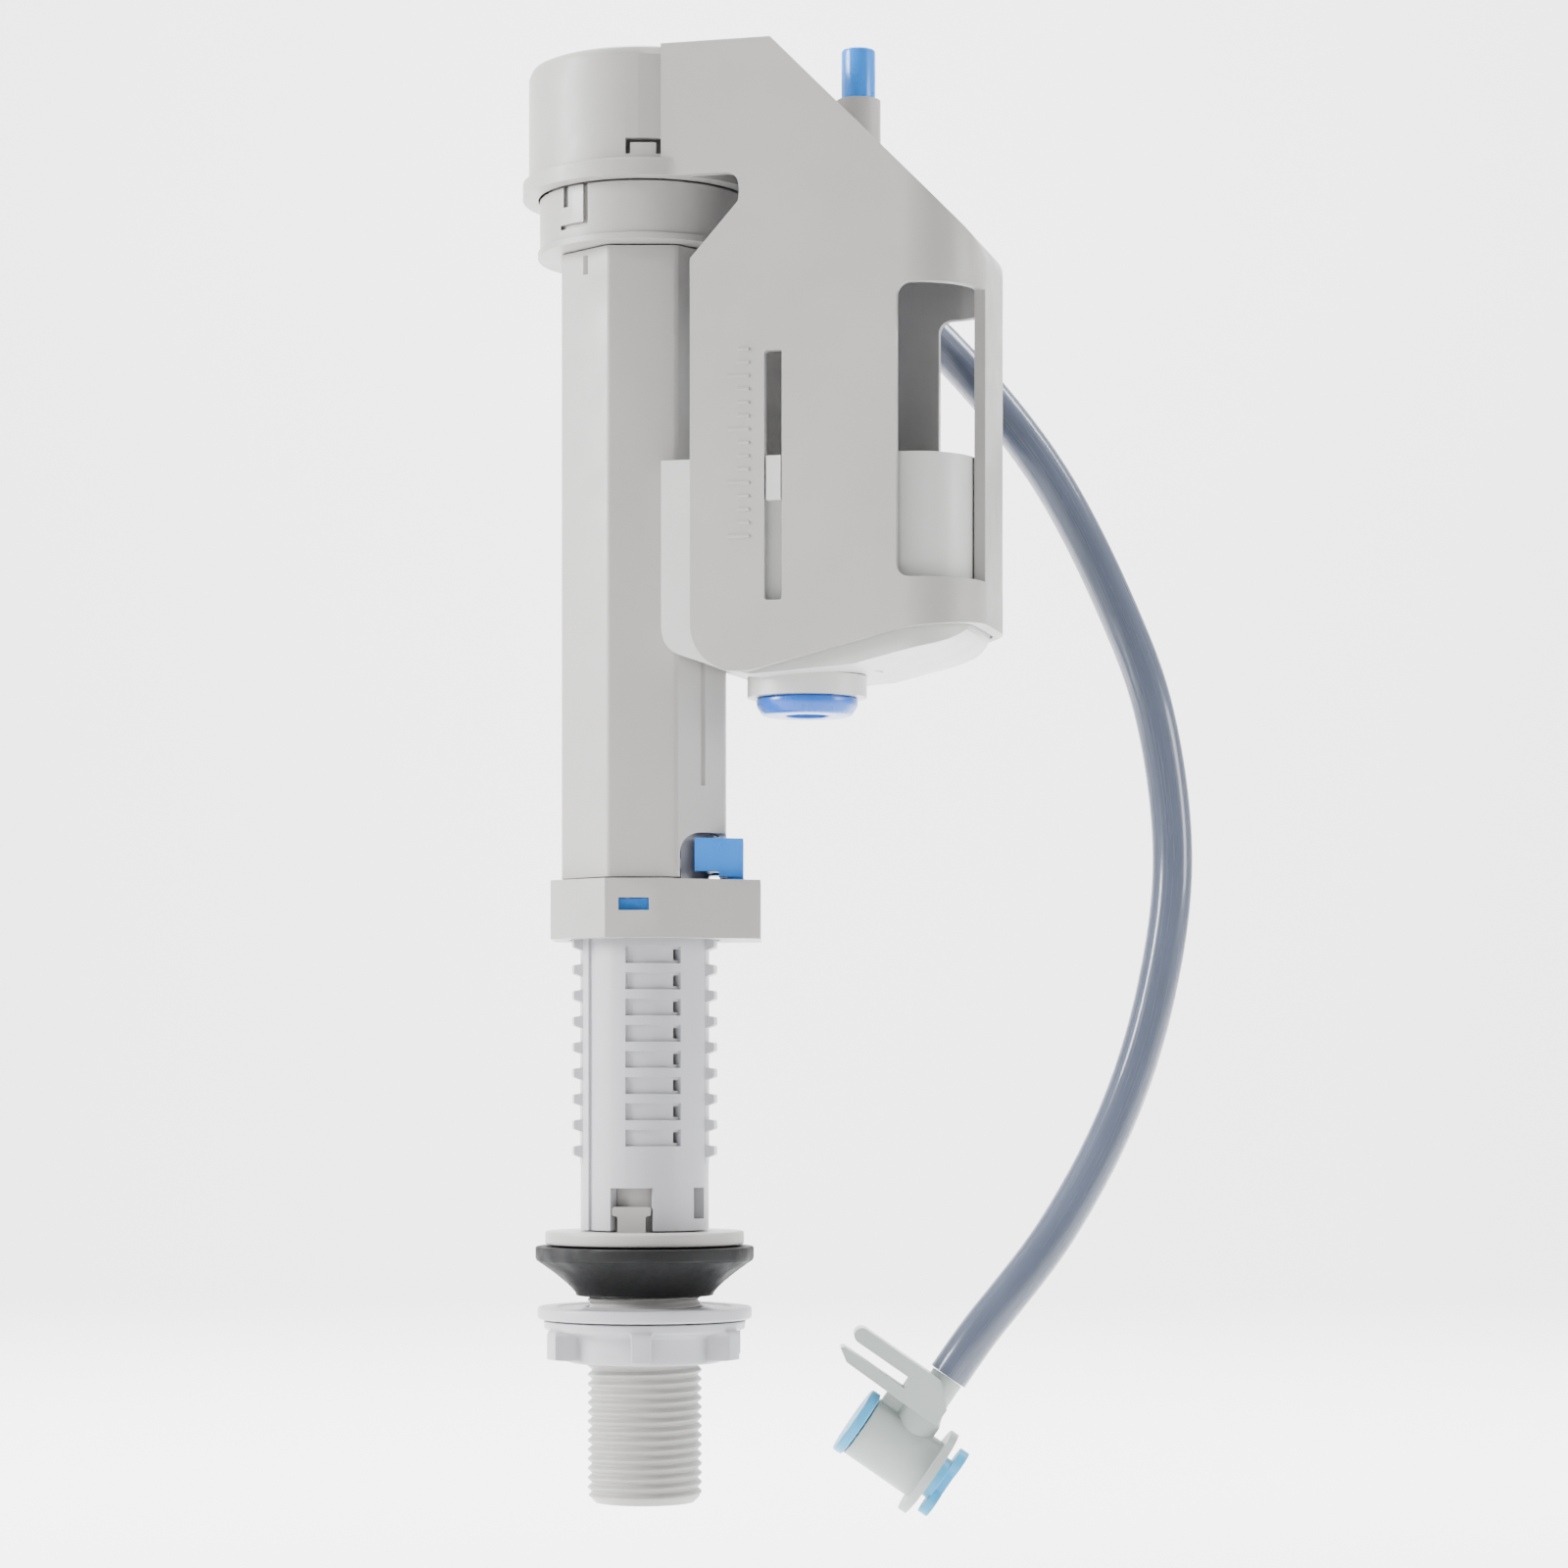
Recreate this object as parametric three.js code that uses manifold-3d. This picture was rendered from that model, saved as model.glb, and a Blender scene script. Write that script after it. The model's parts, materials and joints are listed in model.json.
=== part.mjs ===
// Toilet fill valve: a telescoping riser on a threaded shank, a float in a cap-mounted housing,
// a lever that shuts the diaphragm valve, and a refill hose that ends in an overflow-pipe clip.
// Millimetres, +Z up. The origin is on the shank axis, in the plane of the tank floor, and the
// float housing points along +X.
import * as THREE from "three";
import { mergeVertices } from "three/addons/utils/BufferGeometryUtils.js";
import Module from "manifold-3d";

const wasm = await Module();
wasm.setup();

// ---- driving dimensions ------------------------------------------------------------------

const GAP = 0.3; // clearance between pieces that touch or slide in the real valve
const WALL = 1.8; // moulded wall of the cap and the float housing

// Shank, flange, sealing washer and nut
const SHANK_R = 11.1; // crest radius of a 7/8-14 thread
const SHANK_LENGTH = 40;
const SHANK_BORE_R = 7.1;
const SHANK_CHAMFER = 1.5;
const WASHER_HEIGHT = 9.6;
const WASHER_RIM_R = 21.2;
const WASHER_RIM = 2.6;
const WASHER_FOOT_R = 13.3;
const FLANGE_R = 19.3;
const FLANGE_THICKNESS = 2.6;
const TANK_WALL_GAP = 2.1; // between the washer's foot and the friction washer
const PLATE_R = 20.8;
const PLATE_THICKNESS = 2.4;
const NUT_HEIGHT = 8.1;
const NUT_CORE_R = 15.2;
const NUT_LUG_R = 20.4;
const NUT_LUGS = 6;
const NUT_LUG_WIDTH = 4;

// Riser: inner stem, toothed sleeve
const STEM_R = 8.6;
const STEM_TOP = 150;
const SLEEVE_R = 12.45;
const SLEEVE_BORE_R = 10.2;
const SLEEVE_TOP = 155;
const RACK_TIP_R = 14.1;
const RACK_PITCH = 5;
const RACK_FIRST = 28; // height of the lowest tooth
const RACK_TEETH = 25;
const RACK_WIDTH = 8;
const LADDER_WIDTH = 11;
const LADDER_OFFSET = 1.5; // the rungs lie to one side of the sleeve's front
const LADDER_DEPTH = 0.8;
const HOOK_WIDTH = 8.2;
const HOOK_OFFSET = -2.1;
const HOOK_TOP = 21;
const VENT_WIDTH = 3.8; // small windows beside the hooks
const VENT_TURN = 60;

// Outer tube, lock collar and latch
const STEM_TURN = 14; // degrees from the housing's plane to the plane of the racks
const TUBE_FLAT_R = 15.75; // half the distance across the flats of the eight-sided tube
const TUBE_CORNER_R = 16.85;
const TUBE_BORE_R = 14.5;
const SEAM_BOTTOM = 98;
const SEAM_TOP = 123;
const COLLAR_BOTTOM = 68.7;
const COLLAR_TOP = 80;
const COLLAR_WALL = 1.3;
const COLLAR_FRONT = 16.9;
const COLLAR_LEFT = 17.8;
const COLLAR_NOSE = 22.5;
const TAB_TOP = 88;
const TAB_OUT = 19.2;
const TAB_HALF = 8.5;
const LATCH_PIVOT_X = 18;
const LATCH_PIVOT_Z = 78.2;
const LATCH_TRAVEL = 1.3; // how far the tab moves in when it is pressed

// Head: body, cap and the valve inside
const HEAD_BOTTOM = 200.5;
const CAP_R = 22.4;
const HEAD_R = CAP_R - 2.1;
const HEAD_SHOULDER = 211.5;
const HEAD_NECK_R = CAP_R - 3.8;
const HEAD_TOP = 221;
const GROOVE_WIDTH = 0.9;
const GROOVE_DEPTH = 0.8;
const CHAMBER_R = 16;
const CHAMBER_FLOOR = 204.5;
const PIPE_R = 6.4; // water pipe that slides in the stem
const PIPE_WALL = 1.3;
const PIPE_BOTTOM = 58;
const SEAT_TOP = 209.5;
const DIAPHRAGM_THICKNESS = 2.2;
const BONNET_THICKNESS = 3;
const NOZZLE_TOP = 217.6;
const CAP_TOP = 236.8;
const CAP_LIP_R = CAP_R + 1.2;
const CAP_LIP = 3;
const CAP_ROOF = 2.2;
const CATCH_LEFT = -2.85;
const CATCH_RIGHT = 3.8;
const CATCH_TOP = 219;
const CATCH_HEIGHT = 3;

// Float housing, moulded with the cap
const HOUSING_HALF = 20.5;
const HOUSING_END = 69;
const HOUSING_CORNER = 13.5;
const HOUSING_FRONT = 14.7;
const ROOF_SLOPE = 1.0077; // fall of the roof for each unit along X
const SHOULDER_ROUND = 2.8;
const HOUSING_BOTTOM = 118.3;
const HOUSING_RISE = 8.8; // how far the bottom edge climbs to the end wall
const SLOT_X = 30.8;
const SLOT_WIDTH = 3.4;
const SLOT_BOTTOM = 131.4;
const SLOT_TOP = 178.1;
const WINDOW_BOTTOM = 135;
const WINDOW_TOP = 189.8;
const END_POST_HALF = 8.7; // half the width of the wall between the two windows
const SCREW_R = 2;
const BOSS_R = 4.25;
const BOSS_BOTTOM = 219;
const BOSS_TOP = 228.8;
const KNOB_R = 3.3;
const KNOB_TOP = 238.6;
const SCREW_BOTTOM = 136;

// Lever and lift link
const LEVER_PIVOT_X = CAP_R + 4.6;
const SCREW_FROM_PIVOT = 15.5;
const SCREW_X = LEVER_PIVOT_X + SCREW_FROM_PIVOT; // axis of the water-level screw
const LEVER_PIVOT_Z = 217;
const LEVER_THICKNESS = 2.4;
const LEVER_WIDTH = 7;
const LEVER_LEVEL = 225; // height of the arm over the valve
const FORK_LEVEL = 212; // height of the forked end
const FORK_END = SCREW_X + 5.5;
const PIN_R = 1;
const LINK_R = 3.8;
const LINK_FLANGE_R = 6.3;

// Float and its check valve
const FLOAT_WALL = 1.6;
const FLOAT_RIM = 158.6;
const FLOAT_FRONT = 8.4;
const FLOAT_BOTTOM = 117.9;
const RECESS_R = 17.4; // the float wraps round the tube with this radius
const TOWER_R = 4.8;
const TOWER_TOP = 165.1;
const POINTER_BOTTOM = 150.1;
const CHECK_X = SCREW_X - 10.1;
const CHECK_BOSS_R = 11.5;
const CHECK_BOSS_BOTTOM = 114.9;
const CHECK_RING_BOTTOM = 111.4;
const CHECK_HOLE_R = 4.2;

// Refill hose and overflow clip, in a plane turned as the stem is
const HOSE_R = 4;
const ELBOW_Y = 29;
const ELBOW_Z = 206.5;
const ELBOW_END = 11; // where the elbow's outlet meets the hose
const CLIP_X = 48.9;
const CLIP_Z = -30;
const CLIP_TILT = 34.8; // degrees by which the clip leans
const CLIP_BODY_R = 6.3;
const CLIP_BODY_LENGTH = 16.4;
const CLIP_NECK = 17.1; // from the body's axis to the hose
const CLIP_FLANGE_R = 9.2;
const CLIP_WIDTH = 10;
const JAW_GAP = 2.2;

// ---- colours -------------------------------------------------------------------------------

const BODY_WHITE = { color: 0xc6c4c1, roughness: 0.45 };
const RISER_WHITE = { color: 0xd0d0d6, roughness: 0.4 };
const FLOAT_WHITE = { color: 0xdcded9, roughness: 0.4 };
const CLIP_WHITE = { color: 0xbcc6c3, roughness: 0.4 };
const BLUE = { color: 0x4a96e0, roughness: 0.35 };
const DEEP_BLUE = { color: 0x3c7fd0, roughness: 0.3 };
const PALE_BLUE = { color: 0x74c2de, roughness: 0.35 };
const RUBBER = { color: 0x26282a, roughness: 0.8 };
const HOSE_GREY = { color: 0x788091, roughness: 0.3 };

// ---- solids --------------------------------------------------------------------------------

const radians = THREE.MathUtils.degToRad;

function solidOf(geometry) {
  geometry.deleteAttribute("normal");
  geometry.deleteAttribute("uv");
  const merged = mergeVertices(geometry, 1e-4);
  return new wasm.Manifold(
    new wasm.Mesh({
      numProp: 3,
      vertProperties: merged.attributes.position.array,
      triVerts: new Uint32Array(merged.index.array),
    }),
  );
}

const join = (...solids) => solids.flat().reduce((all, one) => all.add(one));
const cut = (base, ...tools) => tools.flat().reduce((left, tool) => left.subtract(tool), base);

// A revolved solid about Z from [radius, height] pairs, in either order round the profile.
function turned(profile, segments = 40) {
  const points = profile.map(([r, z]) => new THREE.Vector2(r, z));
  if (THREE.ShapeUtils.area(points) < 0) points.reverse();
  const closed = points[0].x > 0 || points.at(-1).x > 0 ? [...points, points[0].clone()] : points;
  return solidOf(new THREE.LatheGeometry(closed, segments).rotateX(Math.PI / 2));
}

const disc = (r, z0, z1, segments = 40) => turned([[0, z0], [r, z0], [r, z1], [0, z1]], segments);
const ring = (r, bore, z0, z1, segments = 40) =>
  turned([[bore, z0], [r, z0], [r, z1], [bore, z1]], segments);

// A box from its lowest to its highest corner.
function block([x0, y0, z0], [x1, y1, z1]) {
  const box = new THREE.BoxGeometry(x1 - x0, y1 - y0, z1 - z0);
  return solidOf(box.translate((x0 + x1) / 2, (y0 + y1) / 2, (z0 + z1) / 2));
}

const outline = (points) => new THREE.Shape(points.map(([x, y]) => new THREE.Vector2(x, y)));

// A plan outline raised from z0 to z1.
function raised(shape, z0, z1, curveSegments = 8) {
  const options = { depth: z1 - z0, bevelEnabled: false, curveSegments };
  return solidOf(new THREE.ExtrudeGeometry(shape, options).translate(0, 0, z0));
}

// A side outline, drawn in X and Z, spread across Y from y0 to y1.
function across(shape, y0, y1, curveSegments = 8) {
  const options = { depth: y1 - y0, bevelEnabled: false, curveSegments };
  const geometry = new THREE.ExtrudeGeometry(shape, options).rotateX(Math.PI / 2);
  return solidOf(geometry.translate(0, y1, 0));
}

const moved = (solid, x, y, z) => solid.translate([x, y, z]);
const alongX = (solid) => solid.rotate([0, 90, 0]);
const alongY = (solid) => solid.rotate([-90, 0, 0]);
const mirroredY = (solid) => join(solid, solid.mirror([0, 1, 0]));

function roundedBox(x0, z0, x1, z1, r) {
  const s = new THREE.Shape();
  s.moveTo(x0 + r, z0).lineTo(x1 - r, z0).absarc(x1 - r, z0 + r, r, -Math.PI / 2, 0);
  s.lineTo(x1, z1 - r).absarc(x1 - r, z1 - r, r, 0, Math.PI / 2);
  s.lineTo(x0 + r, z1).absarc(x0 + r, z1 - r, r, Math.PI / 2, Math.PI);
  s.lineTo(x0, z0 + r).absarc(x0 + r, z0 + r, r, Math.PI, 1.5 * Math.PI);
  return s;
}

// The plan of a box whose far (+X) corners are rounded.
function nosePlan(x0, x1, half, r) {
  const s = new THREE.Shape();
  s.moveTo(x0, -half).lineTo(x1 - r, -half).absarc(x1 - r, -half + r, r, -Math.PI / 2, 0);
  s.lineTo(x1, half - r).absarc(x1 - r, half - r, r, 0, Math.PI / 2).lineTo(x0, half);
  return s;
}

// A strip of even thickness along a path, as an outline.
function ribbon(path, thickness) {
  const points = path.map(([x, y]) => new THREE.Vector2(x, y));
  const side = (sign) =>
    points.map((p, i) => {
      const before = points[Math.max(i - 1, 0)];
      const after = points[Math.min(i + 1, points.length - 1)];
      const along = after.clone().sub(before).normalize();
      return new THREE.Vector2(-along.y, along.x).multiplyScalar((sign * thickness) / 2).add(p);
    });
  return new THREE.Shape([...side(-1), ...side(1).reverse()]);
}

// ---- the scene graph -----------------------------------------------------------------------

const valve = new THREE.Group();

function add(name, solid, look, group = valve) {
  const { numProp, numVert, vertProperties, triVerts } = solid.getMesh();
  const positions = new Float32Array(numVert * 3);
  for (let i = 0; i < numVert; i++) {
    positions.set(vertProperties.subarray(i * numProp, i * numProp + 3), i * 3);
  }
  const geometry = new THREE.BufferGeometry();
  geometry.setAttribute("position", new THREE.BufferAttribute(positions, 3));
  geometry.setIndex(new THREE.BufferAttribute(triVerts, 1));
  geometry.computeVertexNormals();
  const material = new THREE.MeshStandardMaterial({ metalness: 0, flatShading: true, ...look });
  const mesh = new THREE.Mesh(geometry, material);
  mesh.name = name;
  group.add(mesh);
}

// The stem, collar, hose and clip share a group that is turned about the valve's axis.
const stem = new THREE.Group();
stem.rotation.z = radians(STEM_TURN);
valve.add(stem);

const clip = new THREE.Group();
clip.position.set(CLIP_X, 0, CLIP_Z);
clip.rotation.y = radians(CLIP_TILT);
stem.add(clip);

// ---- shank, washer and nut -----------------------------------------------------------------

const flangeBottom = WASHER_HEIGHT + GAP;
const flangeTop = flangeBottom + FLANGE_THICKNESS;

// A window in the sleeve's foot, with the tongue that hooks into it from the flange.
const hookPlaces = [HOOK_OFFSET, -HOOK_OFFSET].map((x, i) => ({ x, turn: 180 * i }));

function shankBase() {
  const spigotR = SLEEVE_BORE_R - GAP;
  const body = turned([
    [SHANK_BORE_R, -SHANK_LENGTH],
    [SHANK_R - SHANK_CHAMFER, -SHANK_LENGTH],
    [SHANK_R, SHANK_CHAMFER - SHANK_LENGTH],
    [SHANK_R, flangeBottom],
    [FLANGE_R, flangeBottom],
    [FLANGE_R, flangeTop],
    [spigotR, flangeTop],
    [spigotR, HOOK_TOP + 3],
    [STEM_R, HOOK_TOP + 5],
    [STEM_R, STEM_TOP],
    [SHANK_BORE_R, STEM_TOP],
  ]);
  const half = HOOK_WIDTH / 2 - GAP;
  const tongue = join(
    block([-half + 1, -SLEEVE_R, flangeTop - 1], [half - 1, 0.5 - spigotR, flangeTop + 3.5]),
    block([-half, -SLEEVE_R, flangeTop + 3.2], [half, 0.5 - spigotR, flangeTop + 5]),
  );
  const tongues = hookPlaces.map(({ x, turn }) => moved(tongue, x, 0, 0).rotate([0, 0, turn]));
  return join(body, tongues);
}

function tankWasher() {
  const flank = new THREE.QuadraticBezierCurve(
    new THREE.Vector2(WASHER_FOOT_R, 0),
    new THREE.Vector2(WASHER_FOOT_R + 2.2, WASHER_HEIGHT * 0.42),
    new THREE.Vector2(WASHER_RIM_R, WASHER_HEIGHT - WASHER_RIM),
  );
  const bore = SHANK_R + GAP;
  return turned([
    [bore, 0],
    ...flank.getPoints(6).map((p) => [p.x, p.y]),
    [WASHER_RIM_R, WASHER_HEIGHT],
    [bore, WASHER_HEIGHT],
  ]);
}

const plateTop = -TANK_WALL_GAP;
const nutTop = plateTop - PLATE_THICKNESS - GAP;
const nutBottom = nutTop - NUT_HEIGHT;

function lockNut() {
  const skirt = turned([
    [NUT_CORE_R - 0.8, nutBottom],
    [NUT_CORE_R, nutBottom + 0.8],
    [NUT_CORE_R + 0.6, nutTop - 2.4],
    [NUT_LUG_R - 0.8, nutTop - 1.6],
    [NUT_LUG_R - 0.8, nutTop],
    [0, nutTop],
    [0, nutBottom],
  ]);
  const lug = block(
    [-NUT_LUG_WIDTH / 2, -NUT_LUG_R, nutBottom + 0.6],
    [NUT_LUG_WIDTH / 2, -NUT_CORE_R + 1, nutTop - 0.4],
  );
  const lugs = [];
  for (let i = 0; i < NUT_LUGS; i++) lugs.push(lug.rotate([0, 0, (360 / NUT_LUGS) * i]));
  return cut(join(skirt, lugs), disc(SHANK_R + GAP, nutBottom - 1, nutTop + 1));
}

// ---- riser sleeve --------------------------------------------------------------------------

function rack() {
  const root = SLEEVE_R + 0.1;
  const points = [[SLEEVE_R - 1, RACK_FIRST - 2.5], [root, RACK_FIRST - 2.5]];
  for (let i = 0; i < RACK_TEETH; i++) {
    const z = RACK_FIRST + i * RACK_PITCH;
    points.push([root, z - 1.3], [RACK_TIP_R, z - 0.8], [RACK_TIP_R, z + 0.9], [root, z + 1.1]);
  }
  const top = RACK_FIRST + (RACK_TEETH - 1) * RACK_PITCH + 2.5;
  points.push([root, top], [SLEEVE_R - 1, top]);
  const bar = across(outline(points), -RACK_WIDTH / 2, RACK_WIDTH / 2);
  return bar.intersect(disc(RACK_TIP_R, RACK_FIRST - 5, top + 5, 28));
}

// Shallow pockets one tooth apart, which leave rungs between them up the sleeve's front.
function ladderPockets() {
  const x0 = LADDER_OFFSET - LADDER_WIDTH / 2;
  const x1 = LADDER_OFFSET + LADDER_WIDTH / 2;
  const pockets = [];
  for (let i = 0; i < RACK_TEETH; i++) {
    const z = RACK_FIRST + i * RACK_PITCH;
    pockets.push(block([x0, -SLEEVE_R - 1, z + 1], [x1, -SLEEVE_R + LADDER_DEPTH + 0.5, z + 4.2]));
  }
  return pockets;
}

function riserSleeve() {
  const foot = flangeTop + GAP;
  const tube = ring(SLEEVE_R, SLEEVE_BORE_R, foot, SLEEVE_TOP);
  const racks = join(rack(), rack().rotate([0, 0, 180]));
  const window = block([-HOOK_WIDTH / 2, -SLEEVE_R - 1, foot - 1], [HOOK_WIDTH / 2, -5, HOOK_TOP]);
  const windows = hookPlaces.map(({ x, turn }) => moved(window, x, 0, 0).rotate([0, 0, turn]));
  const groove = block([-10.6, -SLEEVE_R, foot - 1], [-9.2, -7.2, SLEEVE_TOP + 1]);
  const vent = block([-VENT_WIDTH / 2, -SLEEVE_R - 1, HOOK_TOP - 6], [VENT_WIDTH / 2, -5, HOOK_TOP]);
  const vents = [VENT_TURN, VENT_TURN + 180].map((turn) => vent.rotate([0, 0, turn]));
  return cut(join(tube, racks), windows, vents, ladderPockets(), groove);
}

// ---- outer tube, collar and latch ------------------------------------------------------------

const tubeBottom = COLLAR_TOP + GAP;
const tubeTop = HEAD_BOTTOM - GAP;

function eightSided(flatR) {
  const corner = flatR / Math.cos(Math.PI / 8);
  const points = [];
  for (let i = 0; i < 8; i++) {
    const angle = (i + 0.5) * (Math.PI / 4);
    points.push([corner * Math.cos(angle), corner * Math.sin(angle)]);
  }
  return outline(points);
}

// A shallow groove in the flat that faces front right or front left.
function facetGroove(x0, x1, z0, z1) {
  const depth = 0.5;
  const y = -(TUBE_FLAT_R * Math.SQRT2 - Math.abs(x0 + x1) / 2) + depth;
  return block([x0, -TUBE_CORNER_R - 1, z0], [x1, y, z1]);
}

function outerTube() {
  const flats = raised(eightSided(TUBE_FLAT_R), tubeBottom, tubeTop);
  const rounded = flats.intersect(disc(TUBE_CORNER_R, tubeBottom - 1, tubeTop + 1, 56));
  const bore = disc(TUBE_BORE_R, tubeBottom - 1, tubeTop + 1);
  const recess = across(roundedBox(7.2, tubeBottom - 6, 40, TAB_TOP + 1, 4), -20, 20);
  const seam = facetGroove(11.1, 11.9, SEAM_BOTTOM, SEAM_TOP);
  const notch = facetGroove(-11.4, -10.4, tubeTop - 4.7, tubeTop - 1);
  return cut(rounded, bore, recess, seam, notch);
}

// The collar's plan, drawn in by the given amount.
function collarPlan(inset) {
  const f = COLLAR_FRONT - inset;
  const l = COLLAR_LEFT - inset;
  const n = COLLAR_NOSE - inset;
  const half = [[l, 8 - inset / 2], [7 - inset / 2, f], [-4, f], [-12.1, 13 - inset], [-n, 10 - inset]];
  const points = half.map(([x, y]) => [-x, -y]);
  return outline([...points, ...half.reverse().map(([x, y]) => [-x, y])]);
}

function lockCollar() {
  const shell = raised(collarPlan(0), COLLAR_BOTTOM, COLLAR_TOP);
  const cavity = raised(collarPlan(COLLAR_WALL), COLLAR_BOTTOM + 1.5, COLLAR_TOP - 1.5);
  const bore = disc(RACK_TIP_R + 2 * GAP, COLLAR_BOTTOM - 1, COLLAR_TOP + 1);
  const tabHole = block([15, -9, COLLAR_TOP - 3], [COLLAR_NOSE - COLLAR_WALL - GAP, 9, COLLAR_TOP + 1]);
  const window = block([-4.4, -COLLAR_FRONT - 1, 73.9], [1.4, -COLLAR_FRONT + 2, 76.3]);
  return cut(shell, cavity, bore, tabHole, window);
}

// A rocker: the tab above its pivot goes in, and the pawl below it draws back from the rack.
function lockLatch() {
  const tabPlan = outline([[9.9, -11.4], [TAB_OUT, -TAB_HALF], [TAB_OUT, TAB_HALF], [9.9, 11.4]]);
  // The tab's inner end dips as it is pressed, so it starts higher than the rest.
  const dip = block([0, -20, 0], [COLLAR_FRONT - 2.4, 20, COLLAR_TOP + LATCH_TRAVEL + GAP]);
  const tab = cut(raised(tabPlan, COLLAR_TOP + 0.6, TAB_TOP), dip);
  const web = block([16.2, -TAB_HALF, COLLAR_BOTTOM + 3.5], [TAB_OUT, TAB_HALF, COLLAR_TOP + 1]);
  const yoke = cut(raised(collarPlan(COLLAR_WALL + 0.4), 74, 76.2), raised(collarPlan(COLLAR_WALL + 1.2), 70, 80));
  const arms = yoke.intersect(block([-5, -20, 70], [COLLAR_NOSE - COLLAR_WALL - LATCH_TRAVEL, 20, 80]));
  const room = join(
    disc(SLEEVE_R + LATCH_TRAVEL + GAP, 60, 100),
    block([0, -RACK_WIDTH / 2 - 0.5, 60], [RACK_TIP_R + LATCH_TRAVEL + GAP, RACK_WIDTH / 2 + 0.5, 100]),
  );
  const pawl = across(outline([[RACK_TIP_R + 0.35, 73.2], [17, 72.4], [17, 75.4], [RACK_TIP_R + 0.35, 74.4]]), -3.5, 3.5);
  return join(cut(join(tab, web, arms), room), pawl);
}

// ---- head and valve ----------------------------------------------------------------------------

// Grooves round the head that the cap's catches slide in: down, along and up again.
function bayonetGrooves() {
  const half = GROOVE_WIDTH / 2;
  const floor = HEAD_BOTTOM + 3;
  const band = ring(HEAD_R + 2, HEAD_R - GROOVE_DEPTH, floor, HEAD_SHOULDER + 1);
  const path = join(
    block([-10.6 - half, -30, floor], [-10.6 + half, 0, HEAD_TOP]),
    block([-15.5, -30, floor], [-10.6, 0, floor + GROOVE_WIDTH]),
    block([-14.5 - half, -30, HEAD_SHOULDER - 3.8], [-14.5 + half, 0, HEAD_TOP]),
  );
  const front = band.intersect(path).rotate([0, 0, STEM_TURN]);
  return [front, front.rotate([0, 0, 180])];
}

function headBody() {
  const body = turned([
    [0, HEAD_BOTTOM],
    [HEAD_R + 0.4, HEAD_BOTTOM],
    [HEAD_R + 0.4, HEAD_BOTTOM + 1.2],
    [HEAD_R, HEAD_BOTTOM + 1.2],
    [HEAD_R, HEAD_SHOULDER],
    [HEAD_NECK_R, HEAD_SHOULDER],
    [HEAD_NECK_R, HEAD_TOP],
    [CHAMBER_R, HEAD_TOP],
    [CHAMBER_R, CHAMBER_FLOOR],
    [0, CHAMBER_FLOOR],
  ]);
  const seat = disc(PIPE_R + 2.4, HEAD_BOTTOM, SEAT_TOP, 32);
  const socket = disc(PIPE_R + GAP, HEAD_BOTTOM - 1, SEAT_TOP + 1, 32);
  const port = moved(disc(1.9, HEAD_BOTTOM - 1, CHAMBER_FLOOR + 1, 12), 12, 0, 0);
  const ports = [];
  for (let i = 0; i < 6; i++) ports.push(port.rotate([0, 0, 60 * i + 30]));
  const elbowLeg = moved(alongY(disc(HOSE_R - 0.6, 0, ELBOW_Y - HEAD_R + 1, 16)), 0, HEAD_R - 1, ELBOW_Z);
  const outlet = moved(alongX(disc(HOSE_R, -HOSE_R, ELBOW_END, 16)), 0, ELBOW_Y, ELBOW_Z);
  return join(cut(join(body, seat), socket, ports, bayonetGrooves()), elbowLeg, outlet);
}

function downPipe() {
  const bore = PIPE_R - PIPE_WALL;
  return turned([
    [bore, PIPE_BOTTOM],
    [PIPE_R, PIPE_BOTTOM],
    [PIPE_R, PIPE_BOTTOM + 2],
    [PIPE_R - 0.7, PIPE_BOTTOM + 2],
    [PIPE_R - 0.7, PIPE_BOTTOM + 4.4],
    [PIPE_R, PIPE_BOTTOM + 4.4],
    [PIPE_R, SEAT_TOP - 1],
    [bore, SEAT_TOP - 1],
  ], 32);
}

function pipeSeal() {
  const bore = PIPE_R - 0.7 + 0.1;
  return ring(SHANK_BORE_R - 0.15, bore, PIPE_BOTTOM + 2.2, PIPE_BOTTOM + 4.2, 32);
}

const diaphragmBottom = SEAT_TOP + GAP;
const bonnetBottom = diaphragmBottom + DIAPHRAGM_THICKNESS + GAP;
const bonnetTop = bonnetBottom + BONNET_THICKNESS;

function diaphragm() {
  return turned([
    [0, diaphragmBottom],
    [PIPE_R + 2, diaphragmBottom],
    [PIPE_R + 3, diaphragmBottom + 0.9],
    [CHAMBER_R - 2.4, diaphragmBottom + 0.9],
    [CHAMBER_R - 1.8, diaphragmBottom],
    [CHAMBER_R - GAP, diaphragmBottom],
    [CHAMBER_R - GAP, diaphragmBottom + DIAPHRAGM_THICKNESS],
    [0, diaphragmBottom + DIAPHRAGM_THICKNESS],
  ], 32);
}

function valveBonnet() {
  const plate = turned([
    [0.8, bonnetBottom],
    [CHAMBER_R - GAP, bonnetBottom],
    [CHAMBER_R - GAP, bonnetTop],
    [4.5, bonnetTop],
    [2.4, NOZZLE_TOP],
    [0.8, NOZZLE_TOP],
  ], 32);
  return plate;
}

// ---- cap and float housing ------------------------------------------------------------------

const capBottom = HEAD_SHOULDER + GAP;
const roofEnd = SCREW_X - 12.3; // where the flat roof turns into the slope
const shoulder = CAP_TOP - ROOF_SLOPE * (HOUSING_END - roofEnd); // where the slope meets the end wall

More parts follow.
